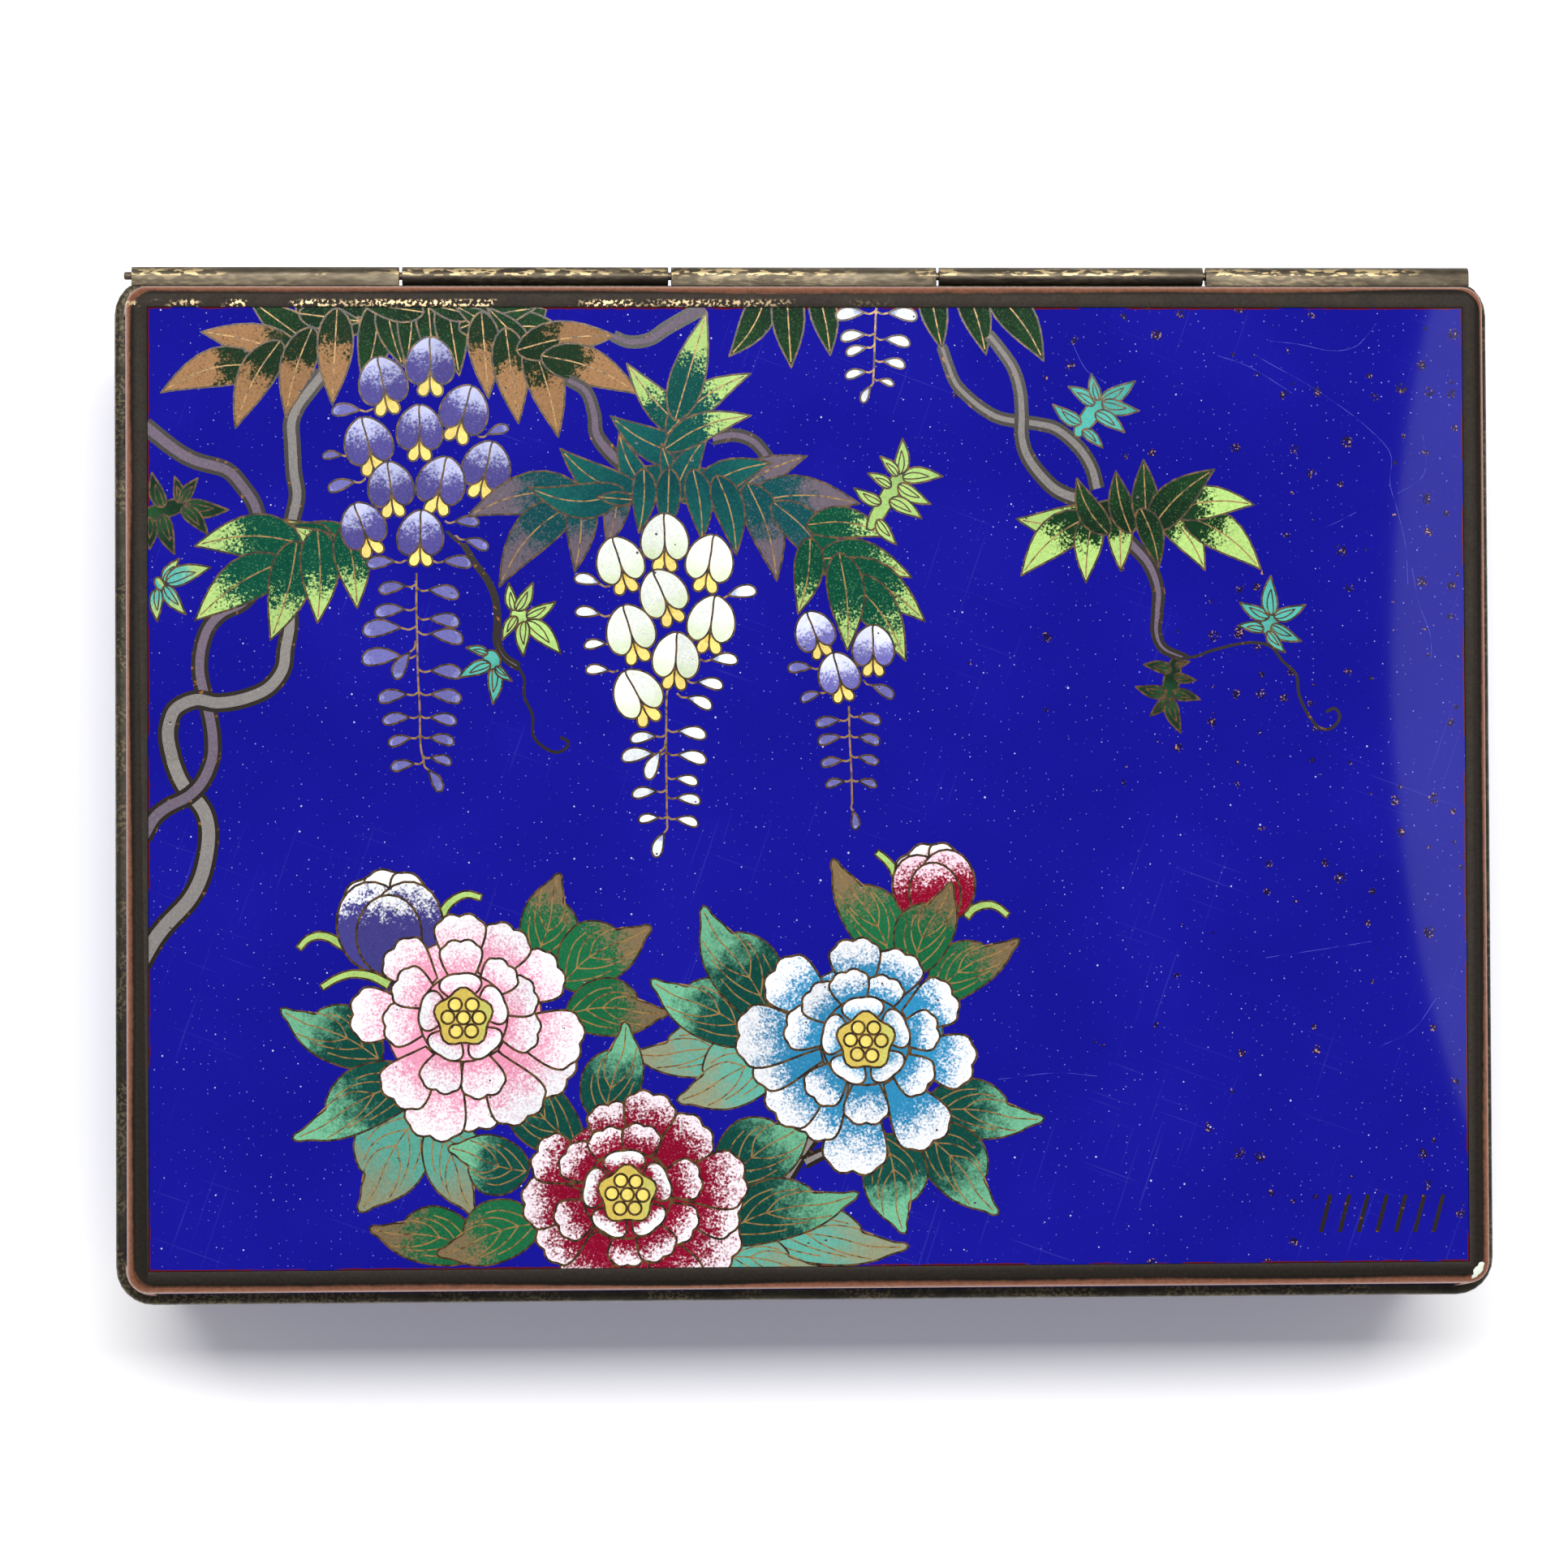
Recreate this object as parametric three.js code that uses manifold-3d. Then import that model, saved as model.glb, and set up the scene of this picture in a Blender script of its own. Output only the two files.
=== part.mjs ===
// A low, rectangular cloisonne enamel box with a hinged lid, for cigarettes or trinkets.
// Lid and base are two shallow trays raised from copper sheet. Glass enamel lies in pockets on every
// outside face, with bare copper left along the edges, and a thin coat of enamel lines each tray.
// A brass bezel goes round each mouth, and five rolled brass knuckles on one steel pin join them
// along the back. Millimetres, +Z up, front of the box towards -Y, origin in the middle of the underside.
import * as THREE from "three";
import Module from "manifold-3d";
import { mergeVertices } from "three/addons/utils/BufferGeometryUtils.js";

// Overall size, taken over the lid's copper edge and over the whole closed box.
const LENGTH = 118;
const WIDTH = 86.8;
const HEIGHT = 30;
const BASE_HEIGHT = 22;

// The walls of both trays lean out by this much towards the parting line between them.
const FLARE = 0.9;
const CORNER_RADIUS = 1.7;
const EDGE_ROUNDING = 0.9;
const SHEET = 0.9;

// Enamel: how deep its pockets are, how much copper shows round them, and the coat inside.
const POCKET_DEPTH = 0.6;
const COPPER_MARGIN = 1.8;
const CORNER_POST = 2.1;
const ENAMEL_SINK = 0.08;
const LINING = 0.3;

// The hair's breadth between any two pieces that are fired, soldered or pressed together.
const FIT_GAP = 0.03;

// The bezels round the two mouths.
const BEZEL_HEIGHT = 1.05;
const BEZEL_PROUD = 0.7;
const PARTING_GAP = 0.1;

// The hinge.
const KNUCKLES = 5;
const BARREL_RADIUS = 0.8;
const BARREL_CLEARANCE = 0.15;
const PIN_RADIUS = 0.35;
const PIN_CLEARANCE = 0.05;
const PIN_STUB = 0.7;
const KNUCKLE_GAP = 0.25;
const HINGE_END_GAP = 0.8;
const LEAF_THICKNESS = 0.75;

// How finely the round forms are drawn, and how close two corners are when they are one corner.
const CORNER_STEPS = 6;
const ROUNDING_STEPS = 4;
const BARREL_SIDES = 28;
const SAME_POINT = 1e-4;

// The sharpest corner that a hoop may have on its inside, and how far a cutter reaches past its cut.
const LEAST_RADIUS = 0.3;
const OVERSHOOT = 1;

const wasm = await Module();
wasm.setup();

const copper = new THREE.MeshStandardMaterial({ color: 0x6e4a36, roughness: 0.42, metalness: 0.9 });
const brass = new THREE.MeshStandardMaterial({ color: 0x8c7d5a, roughness: 0.45, metalness: 0.9 });
const steel = new THREE.MeshStandardMaterial({ color: 0x54483c, roughness: 0.55, metalness: 0.85 });
const enamel = new THREE.MeshStandardMaterial({ color: 0x1d1f94, roughness: 0.12, metalness: 0 });
const counterEnamel = new THREE.MeshStandardMaterial({ color: 0x20247c, roughness: 0.3, metalness: 0 });

// A geometry as a solid that can be cut and joined.
function solidFrom(geometry) {
  const bare = geometry.index ? geometry.toNonIndexed() : geometry.clone();
  bare.deleteAttribute("normal");
  bare.deleteAttribute("uv");
  const merged = mergeVertices(bare, SAME_POINT);
  return new wasm.Manifold(
    new wasm.Mesh({
      numProp: 3,
      vertProperties: merged.attributes.position.array,
      triVerts: new Uint32Array(merged.index.array),
    }),
  );
}

// A solid turned back into a geometry with flat faces.
function geometryFrom(solid) {
  const mesh = solid.getMesh();
  const indexed = new THREE.BufferGeometry()
    .setAttribute("position", new THREE.BufferAttribute(mesh.vertProperties, 3))
    .setIndex(new THREE.BufferAttribute(mesh.triVerts, 1));
  const flat = indexed.toNonIndexed();
  flat.computeVertexNormals();
  return flat;
}

// One ring of points: a rounded rectangle that lies "out" beyond the lid's edge, at height z.
function ringPoints(out, z) {
  const radius = Math.max(CORNER_RADIUS + out, LEAST_RADIUS);
  const centreX = LENGTH / 2 + out - radius;
  const centreY = WIDTH / 2 + out - radius;
  const corners = [
    [centreX, centreY],
    [-centreX, centreY],
    [-centreX, -centreY],
    [centreX, -centreY],
  ];
  return corners.flatMap(([x, y], quarter) =>
    Array.from({ length: CORNER_STEPS + 1 }, (_, step) => {
      const angle = ((quarter + step / CORNER_STEPS) * Math.PI) / 2;
      return new THREE.Vector3(x + radius * Math.cos(angle), y + radius * Math.sin(angle), z);
    }),
  );
}

// A solid made by carrying a profile of [out, z] points round the box. An open profile is closed by
// a flat face at each end, as in a tray, and a closed one makes a hoop. The profile runs so that
// the solid lies on its left, seen with "out" to the right and z upwards.
function carriedRound(profile, closed) {
  const rings = profile.map(([out, z]) => ringPoints(out, z));
  const corners = [];
  const side = rings[0].length;
  const last = closed ? rings.length : rings.length - 1;
  for (let i = 0; i < last; i++) {
    const lower = rings[i];
    const upper = rings[(i + 1) % rings.length];
    for (let j = 0; j < side; j++) {
      const next = (j + 1) % side;
      corners.push(lower[j], lower[next], upper[next], lower[j], upper[next], upper[j]);
    }
  }
  if (!closed) {
    const fan = (ring, turned) => {
      const middle = new THREE.Vector3(0, 0, ring[0].z);
      for (let j = 0; j < side; j++) {
        const next = (j + 1) % side;
        corners.push(middle, ...(turned ? [ring[next], ring[j]] : [ring[j], ring[next]]));
      }
    };
    fan(rings[0], true);
    fan(rings[rings.length - 1], false);
  }
  return solidFrom(new THREE.BufferGeometry().setFromPoints(corners));
}

// A box between two corners.
function block(low, high) {
  const size = high.map((value, axis) => value - low[axis]);
  const geometry = new THREE.BoxGeometry(...size);
  geometry.translate(...high.map((value, axis) => (value + low[axis]) / 2));
  return solidFrom(geometry);
}

// A quarter round of [out, z] points about a centre, from one angle to another in degrees.
function arc(centreOut, centreZ, radius, from, to) {
  return Array.from({ length: ROUNDING_STEPS + 1 }, (_, step) => {
    const angle = THREE.MathUtils.degToRad(from + ((to - from) * step) / ROUNDING_STEPS);
    return [centreOut + radius * Math.cos(angle), centreZ + radius * Math.sin(angle)];
  });
}

// Sheet and outer enamel together, which is also how far the inner face lies behind the outer one.
const wallThickness = POCKET_DEPTH + SHEET;

// A tray is described as if its closed face were at height 0 and its mouth at "depth" above it.
// place() puts it in the box: the base as it is, the lid upside down under the top.
function trayForms(depth, place) {
  const outAt = (height) => (FLARE * height) / depth;
  const mouth = depth - BEZEL_HEIGHT;
  const order = (profile) => (place(1) < place(0) ? profile.slice().reverse() : profile);
  const placed = (profile) => order(profile.map(([out, height]) => [out, place(height)]));
  const floorTop = wallThickness;
  const rounded = arc(outAt(EDGE_ROUNDING) - EDGE_ROUNDING, EDGE_ROUNDING, EDGE_ROUNDING, -90, 0);
  const shell = carriedRound(
    placed([
      ...rounded,
      [outAt(mouth), mouth],
      [outAt(mouth) - wallThickness, mouth],
      [outAt(floorTop) - wallThickness, floorTop],
    ]),
    false,
  );

  // The band that the side pockets are cut from, and the slimmer band of enamel that fills them.
  const sideBand = (outer, inner, low, high) =>
    carriedRound(
      placed([
        [outAt(low) - inner, low],
        [outAt(low) - outer, low],
        [outAt(high) - outer, high],
        [outAt(high) - inner, high],
      ]),
      true,
    );
  const pocketBand = sideBand(-OVERSHOOT, POCKET_DEPTH, COPPER_MARGIN, mouth + OVERSHOOT);
  const enamelBand = sideBand(
    ENAMEL_SINK,
    POCKET_DEPTH - FIT_GAP,
    COPPER_MARGIN + FIT_GAP,
    mouth - FIT_GAP,
  );

  // Four windows, one to a side, that run from the box's middle outwards past its wall and from
  // below it to above it, and stop short of the corner posts.
  const windows = (inset) => {
    const reach = LENGTH + WIDTH;
    const halfX = LENGTH / 2 - CORNER_POST - inset;
    const halfY = WIDTH / 2 - CORNER_POST - inset;
    return {
      front: block([-halfX, -reach, -reach], [halfX, 0, reach]),
      back: block([-halfX, 0, -reach], [halfX, reach, reach]),
      left: block([-reach, -halfY, -reach], [0, halfY, reach]),
      right: block([0, -halfY, -reach], [reach, halfY, reach]),
    };
  };

  // The pocket in the closed face, cut square at its corners.
  const facePocket = (inset, near, far) => {
    const halfX = LENGTH / 2 - COPPER_MARGIN - inset;
    const halfY = WIDTH / 2 - COPPER_MARGIN - inset;
    const heights = [place(near), place(far)].sort((a, b) => a - b);
    return block([-halfX, -halfY, heights[0]], [halfX, halfY, heights[1]]);
  };

  let copperTray = shell.subtract(facePocket(0, -OVERSHOOT, POCKET_DEPTH));
  for (const window of Object.values(windows(0))) {
    copperTray = copperTray.subtract(pocketBand.intersect(window));
  }
  const sides = Object.entries(windows(FIT_GAP)).map(([side, window]) => [
    side,
    enamelBand.intersect(window),
  ]);

  const liningIn = wallThickness + FIT_GAP;
  const liningLow = floorTop + FIT_GAP;
  const liningHigh = mouth - FIT_GAP;
  const lining = carriedRound(
    placed([
      [outAt(liningLow) - liningIn, liningLow],
      [outAt(liningHigh) - liningIn, liningHigh],
      [outAt(liningHigh) - liningIn - LINING, liningHigh],
      [outAt(liningLow) - liningIn - LINING, liningLow + LINING],
    ]),
    false,
  );
  return { copperTray, sides, facePocket, lining };
}

const parting = BASE_HEIGHT;
const lidMouth = parting + PARTING_GAP;
const lidForms = trayForms(HEIGHT - lidMouth, (height) => HEIGHT - height);
const baseForms = trayForms(BASE_HEIGHT, (height) => height);

// The bezels' back is cut flat, flush with the walls, and the hinge's barrel lies behind it.
const bezelBack = WIDTH / 2 + FLARE;
const hingeAxis = {
  y: bezelBack + BARREL_CLEARANCE + BARREL_RADIUS,
  z: parting + PARTING_GAP / 2,
};
const hingeHalf = LENGTH / 2 + FLARE - HINGE_END_GAP;
const knuckleLength = (2 * hingeHalf - (KNUCKLES - 1) * KNUCKLE_GAP) / KNUCKLES;

// A bezel is a brass hoop with a rounded outer edge that caps a tray's wall.
function bezel(low) {
  const high = low + BEZEL_HEIGHT;
  const nose = BEZEL_HEIGHT / 2;
  const outer = FLARE + BEZEL_PROUD;
  const inner = FLARE - wallThickness - LINING - FIT_GAP;
  const rounded = arc(outer - nose, low + nose, nose, -90, 90);
  const hoop = carriedRound([[inner, low], ...rounded, [inner, high]], true);
  const behind = block(
    [-LENGTH, bezelBack, low - OVERSHOOT],
    [LENGTH, bezelBack + LENGTH, high + OVERSHOOT],
  );
  return hoop.subtract(behind);
}

// A round bar along X between two ends.
function bar(radius, fromX, toX) {
  const geometry = new THREE.CylinderGeometry(radius, radius, toX - fromX, BARREL_SIDES);
  geometry.rotateZ(Math.PI / 2);
  geometry.translate((fromX + toX) / 2, hingeAxis.y, hingeAxis.z);
  return solidFrom(geometry);
}

// A knuckle is a tube with a flat leaf, level with its top or bottom, that meets its own bezel's back.
function knuckle(index, leafLow, leafHigh) {
  const from = -hingeHalf + index * (knuckleLength + KNUCKLE_GAP);
  const to = from + knuckleLength;
  const leafEdge = bezelBack + FIT_GAP;
  const leaf = block([from, leafEdge, leafLow], [to, hingeAxis.y, leafHigh]);
  const bore = bar(PIN_RADIUS + PIN_CLEARANCE, from - OVERSHOOT, to + OVERSHOOT);
  return bar(BARREL_RADIUS, from, to).add(leaf).subtract(bore);
}

const lid = new THREE.Group();
const base = new THREE.Group();

function addPiece(group, name, solid, material) {
  const mesh = new THREE.Mesh(geometryFrom(solid), material);
  mesh.name = name;
  group.add(mesh);
}

function addTray(group, name, forms) {
  addPiece(group, `${name}_tray`, forms.copperTray, copper);
  for (const [side, solid] of forms.sides) {
    addPiece(group, `${name}_${side}_enamel`, solid, enamel);
  }
  addPiece(group, `${name}_lining`, forms.lining, counterEnamel);
}

addTray(lid, "lid", lidForms);
addPiece(
  lid,
  "lid_top_enamel",
  lidForms.facePocket(FIT_GAP, ENAMEL_SINK, POCKET_DEPTH - FIT_GAP),
  enamel,
);
addPiece(lid, "lid_bezel", bezel(lidMouth), brass);

addTray(base, "base", baseForms);
addPiece(
  base,
  "base_bottom_enamel",
  baseForms.facePocket(FIT_GAP, 0, POCKET_DEPTH - FIT_GAP),
  enamel,
);
addPiece(base, "base_bezel", bezel(parting - BEZEL_HEIGHT), brass);

// The knuckles take turns: the first, third and fifth are the lid's, the second and fourth the base's.
for (let index = 0; index < KNUCKLES; index++) {
  const onLid = index % 2 === 0;
  const leafHigh = onLid ? hingeAxis.z + BARREL_RADIUS : hingeAxis.z - BARREL_RADIUS + LEAF_THICKNESS;
  addPiece(
    onLid ? lid : base,
    `${onLid ? "lid" : "base"}_knuckle_${index + 1}`,
    knuckle(index, leafHigh - LEAF_THICKNESS, leafHigh),
    brass,
  );
}
addPiece(base, "hinge_pin", bar(PIN_RADIUS, -hingeHalf - PIN_STUB, hingeHalf), steel);

const box = new THREE.Group();
box.add(base, lid);
export default box;
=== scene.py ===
# %% [markdown]
# # A cloisonne enamel box
# Cloisonne is glass melted into cells of thin wire that stand on a sheet of copper. The surface
# is ground flat and polished, so wires and glass end up level, like a map drawn in gold lines.
# This notebook dresses the box's plain solids: enamel first, then copper, brass, light and camera.

# %% The frame, and the tools used throughout
import math
import random
import time

import bmesh
import bpy
import numpy
from mathutils import Matrix, Vector, geometry


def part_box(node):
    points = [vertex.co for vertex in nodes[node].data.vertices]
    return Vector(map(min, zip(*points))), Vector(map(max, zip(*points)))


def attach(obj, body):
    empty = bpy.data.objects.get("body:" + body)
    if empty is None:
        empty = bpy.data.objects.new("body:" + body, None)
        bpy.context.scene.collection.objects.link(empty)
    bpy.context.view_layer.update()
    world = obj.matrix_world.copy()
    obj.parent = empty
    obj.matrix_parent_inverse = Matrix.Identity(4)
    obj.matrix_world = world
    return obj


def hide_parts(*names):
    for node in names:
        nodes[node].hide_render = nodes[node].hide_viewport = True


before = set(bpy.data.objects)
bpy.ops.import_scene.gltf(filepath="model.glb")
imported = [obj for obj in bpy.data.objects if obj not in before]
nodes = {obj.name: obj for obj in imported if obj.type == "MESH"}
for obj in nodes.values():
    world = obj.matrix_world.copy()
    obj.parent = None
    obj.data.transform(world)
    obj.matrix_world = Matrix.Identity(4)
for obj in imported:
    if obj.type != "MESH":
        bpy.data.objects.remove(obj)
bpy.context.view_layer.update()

MM = 0.001
chance = random.Random(41)

# %% [markdown]
# ## The camera
# The photograph looks almost straight down, a little from the front and the left. Fitting a
# camera to the lid's four corners gave the values below. It comes first, because it also says
# which spot of the lid lies under any spot of the photograph, and the flowers are placed that way.

# %% The camera
PHOTO_SIZE = 1932
SENSOR = 36
LENS = 120
CAMERA_PLACE = Vector((-23.5, -10.4, 452.4)) * MM
CAMERA_TILT = (1.34, -2.68, -0.21)

_, lid_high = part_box("lid_tray")
lid_top = lid_high[2]
turn = Matrix.Identity(3)
for degrees, axis in zip(CAMERA_TILT, "XYZ"):
    turn = turn @ Matrix.Rotation(math.radians(degrees), 3, axis)

camera = bpy.data.objects.new("camera", bpy.data.cameras.new("camera"))
bpy.context.collection.objects.link(camera)
camera.data.lens = LENS
camera.data.sensor_width = SENSOR
camera.data.clip_start = 0.01
camera.matrix_world = Matrix.Translation(CAMERA_PLACE + Vector((0, 0, lid_top))) @ turn.to_4x4()
bpy.context.scene.camera = camera


def on_lid(photo_x, photo_y):
    """The point of the lid's top plane that the photograph shows at a pixel."""
    across = (photo_x / PHOTO_SIZE - 0.5) * SENSOR
    up = (0.5 - photo_y / PHOTO_SIZE) * SENSOR
    ray = turn @ Vector((across, up, -LENS))
    start = CAMERA_PLACE
    reach = -start.z / ray.z
    return Vector((start.x + ray.x * reach, start.y + ray.y * reach))


MEASURED_AT = (999, 1000)
PIXEL = (on_lid(MEASURED_AT[0] + 1, MEASURED_AT[1]) - on_lid(*MEASURED_AT)).length
print("one pixel of the photograph is", round(PIXEL / MM, 4), "mm on the lid")

# %% [markdown]
# ## Outlines
# Every figure is made of a few kinds of cell. A lens has two ends, each set by a power: a small
# power makes a round end, and a power of one a sharp one. A petal is a fan with a scalloped
# rim. Each outline is worked out from where it starts, where it ends and how wide it is.

# %% Helpers for curves
def smooth_path(points, steps, closed=False):
    """Points on a smooth curve through the given ones (a Catmull-Rom spline)."""
    count = len(points)
    result = []
    spans = count if closed else count - 1
    for i in range(spans):
        if closed:
            before, start, end, after = (points[(i + k) % count] for k in (-1, 0, 1, 2))
        else:
            start, end = points[i], points[i + 1]
            before = points[i - 1] if i > 0 else start * 2 - end
            after = points[i + 2] if i + 2 < count else end * 2 - start
        for step in range(steps):
            t = step / steps
            bent = (2 * before - 5 * start + 4 * end - after) * t**2
            twisted = (3 * start - before - 3 * end + after) * t**3
            result.append(0.5 * (2 * start + (end - before) * t + bent + twisted))
    if not closed:
        result.append(points[-1].copy())
    return result


def side_of(direction):
    """The direction turned a quarter to the left."""
    return Vector((-direction.y, direction.x))


def polar(degrees, radius):
    return Vector((math.cos(math.radians(degrees)), math.sin(math.radians(degrees)))) * radius


def lens_outline(base, tip, width, powers, bow=0.0, steps=11):
    """A lens from base to tip; bow bends its middle line to the left, as a share of its length."""
    base_power, tip_power = powers
    line = tip - base
    left = side_of(line)
    peak = base_power / (base_power + tip_power)
    highest = peak**base_power * (1 - peak) ** tip_power
    right_side, left_side = [], []
    for k in range(steps + 1):
        t = (1 - math.cos(math.pi * k / steps)) / 2
        middle = base + line * t + left * (4 * bow * t * (1 - t))
        half = width / 2 * t**base_power * (1 - t) ** tip_power / highest
        out = left.normalized() * half
        right_side.append(middle - out)
        left_side.append(middle + out)
    return right_side + left_side[-2:0:-1]


# %% [markdown]
# ## Laying down cells
# The picture is kept as a list, in painter's order: a later cell hides what it covers. A cell
# knows its outline, its enamel, the wire round it, and a line from its base to its tip, along
# which its two colours change. An open wire, such as a vein or a tendril, has no enamel.

# %% The list of cells
WIRE_FINE = 0.17 * MM
WIRE_VEIN = 0.12 * MM
WIRE_PETAL = 0.21 * MM
WIRE_TENDRIL = 0.272 * MM
WIRE_VINE = 0.36 * MM

picture = []


def lay_cell(line, enamel, base, tip, wire="wire_brown", width=WIRE_FINE, closed=True):
    picture.append({
        "line": line, "closed": closed, "enamel": enamel, "wire": wire, "width": width,
        "base": base, "axis": tip - base, "shade": chance.uniform(0, 1)})


def lay_wire(line, wire="wire_gold", width=WIRE_FINE):
    lay_cell(line, None, line[0], line[len(line) // 2], wire, width, closed=False)


def route_line(route, steps):
    """A smooth line through spots given in the photograph's pixels."""
    return smooth_path([on_lid(*spot) for spot in route], steps)


# %% [markdown]
# ## Leaves
# A wisteria leaf is a row of pointed leaflets on a hidden stalk. Both ends of each leaflet are
# listed, and one function gives them all their shape, their bow and their rib.

# %% Sprays of leaflets
LEAFLET_ENDS = (0.62, 1.12)
LEAFLET_HIDDEN = 0.26
RIB_SHARES = (0.02, 0.35, 0.65, 0.93)


def lay_leaflet(base, tip, bow, enamel, width_share):
    """A pointed leaflet; a part of its base lies under its neighbours."""
    base = base + (base - tip) * LEAFLET_HIDDEN
    line = tip - base
    width = line.length * width_share
    lay_cell(lens_outline(base, tip, width, LEAFLET_ENDS, bow), enamel, base, tip)
    rib = [base + line * t + side_of(line) * (4 * bow * t * (1 - t)) for t in RIB_SHARES]
    lay_wire(smooth_path(rib, 4), width=WIRE_VEIN)


def lay_spray(leaflets, enamel, width_share):
    """Leaflets given as base x, base y, tip x, tip y and bow, in the photograph's pixels."""
    for base_x, base_y, tip_x, tip_y, bow in leaflets:
        lay_leaflet(on_lid(base_x, base_y), on_lid(tip_x, tip_y), bow, enamel, width_share)


def lay_stalk(route, width, enamel):
    """The hidden stalk under a spray: a band of leaf enamel, its width in the photograph's pixels."""
    line = route_line(route, 5)
    lay_cell(ribbon(line, (width * PIXEL, width * PIXEL)), enamel, line[0], line[-1])


# %% [markdown]
# A sprig is a small star of plump leaflets, each a drop with a sharp tip, round a short stalk
# that is filled with the same enamel.

# %% Small sprigs
SPRIG_ENDS, SPRIG_WIDTH, SPRIG_BEND, SPRIG_REACH = (0.55, 1.15), 0.4, 0.05, 0.92
STALK_ENDS, STALK_WIDTH, STALK_BEYOND = (0.4, 0.4), 1.4 * MM, 0.3
DROP_ENDS, DROP_WIDTH, DROP_LENGTH, DROP_STEPS = (0.6, 1.0), 0.4, 0.66, 7


def lay_sprig(stalk, tips, enamel):
    """stalk is two ends in the photograph's pixels, tips the leaflets' points."""
    foot, head = on_lid(*stalk[0]), on_lid(*stalk[1])
    stalk_line = head - foot
    beyond = stalk_line * STALK_BEYOND
    lay_cell(lens_outline(foot - beyond, head + beyond, STALK_WIDTH, STALK_ENDS), enamel, foot, head)
    for tip_x, tip_y in tips:
        tip = on_lid(tip_x, tip_y)
        along = max(0.0, min(1.0, (tip - foot).dot(stalk_line) / stalk_line.length_squared))
        base = foot + stalk_line * along
        base = base + (tip - base) * (1 - SPRIG_REACH)
        bend = SPRIG_BEND if (tip_x + tip_y) % 2 else -SPRIG_BEND
        width = (tip - base).length * SPRIG_WIDTH
        lay_cell(lens_outline(base, tip, width, SPRIG_ENDS, bend), enamel, base, tip)
        drop_tip = base + (tip - base) * DROP_LENGTH
        drop = lens_outline(base, drop_tip, width * DROP_WIDTH, DROP_ENDS, bend, DROP_STEPS)
        lay_wire(drop + drop[:1], "wire_brown", WIRE_VEIN)


# %% [markdown]
# ## Wisteria flowers
# Each blossom is a pair of round petals that meet at a slit, over two yellow drops. A bud is a
# drop on a short wire, and the nearer its tip is to the stem, the smaller it is.

# %% Blossoms and buds
BLOSSOM_LOBE = [
    (0.0, 0.5), (0.2, 0.46), (0.42, 0.25), (0.53, -0.06), (0.48, -0.35), (0.29, -0.49), (0.11, -0.41),
    (0.01, -0.2), (0.0, 0.15)]
BLOSSOM_SIZE = 56 * PIXEL
LOBE_WIDTH = 0.98
KEEL_ENDS, KEEL_LENGTH, KEEL_WIDTH, KEEL_SPREAD, KEEL_TOP = (1.0, 0.45), 0.46, 0.25, 0.2, -0.28


def lay_blossom(centre_x, centre_y, lean, enamel, size):
    """lean turns the blossom to the left, in degrees; at 0 the yellow drops hang straight down."""
    centre = on_lid(centre_x, centre_y)
    scale = BLOSSOM_SIZE * size * chance.uniform(0.96, 1.04)
    spin = Matrix.Rotation(math.radians(lean), 2)

    def place(x, y):
        return centre + spin @ Vector((x, y)) * scale

    slant = chance.uniform(-0.05, 0.05)
    for side in (-1, 1):
        root = place(0, KEEL_TOP)
        end = place(side * KEEL_SPREAD, KEEL_TOP - KEEL_LENGTH)
        lay_cell(lens_outline(root, end, KEEL_WIDTH * scale, KEEL_ENDS), "keel_yellow", root, end)
    for side in (-1, 1):
        lobe = [place(side * x * LOBE_WIDTH + slant * y, y) for x, y in BLOSSOM_LOBE]
        if side > 0:
            lobe = lobe[::-1]
        lay_cell(smooth_path(lobe, 4, closed=True), enamel, place(0, 0.5), place(side * 0.2, -0.5))


def lay_blossoms(blossoms, enamel, size=1.0):
    """Blossoms given as centre x, centre y and lean, in the photograph's pixels and degrees."""
    for blossom in blossoms:
        lay_blossom(*blossom, enamel, size)


BUD_ENDS, BUD_WIDTH, BUD_STALK, BUD_BEND, BUD_SAG = (0.95, 0.5), 0.44, 0.3, 0.05, 0.06


def lay_bud(stem_point, tip, enamel):
    """A drop on a short stalk that leaves the stem at stem_point."""
    line = tip - stem_point
    base = stem_point + line * BUD_STALK
    bend = side_of(line) * (BUD_BEND if line.x < 0 else -BUD_BEND)
    lay_wire(smooth_path([stem_point, stem_point + line * (BUD_STALK / 2) + bend, base], 4))
    width = (tip - base).length * BUD_WIDTH
    sag = BUD_SAG if line.x > 0 else -BUD_SAG
    lay_cell(lens_outline(base, tip, width, BUD_ENDS, sag), enamel, base, tip)


def lay_loose_buds(buds, enamel):
    """Buds given as stem x, stem y, tip x and tip y, in the photograph's pixels."""
    for stem_x, stem_y, tip_x, tip_y in buds:
        lay_bud(on_lid(stem_x, stem_y), on_lid(tip_x, tip_y), enamel)


BUD_RISE = 9 * PIXEL


def lay_raceme_end(stem, left_tips, right_tips, enamel, last_tip):
    """The hanging end of a raceme: a thin stem with buds to the left and right of it."""
    line = route_line(stem, 8)
    lay_wire(line)
    for spot in left_tips + right_tips:
        tip = on_lid(*spot)
        stem_point = min(line, key=lambda p: abs(p.y - tip.y - BUD_RISE))
        lay_bud(stem_point, tip, enamel)
    lay_bud(line[-1], on_lid(*last_tip), enamel)


# %% [markdown]
# ## Vines
# A vine is a ribbon of grey or mauve enamel between two heavy dark wires. It is laid as a long
# cell that follows a curve, so a second vine can pass over it.

# %% Vines and tendrils
def ribbon(line, widths):
    """The outline of a band along a line, with one width for its start and one for its end."""
    left_side, right_side = band_sides(line, widths)
    return left_side + right_side[::-1]


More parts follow.
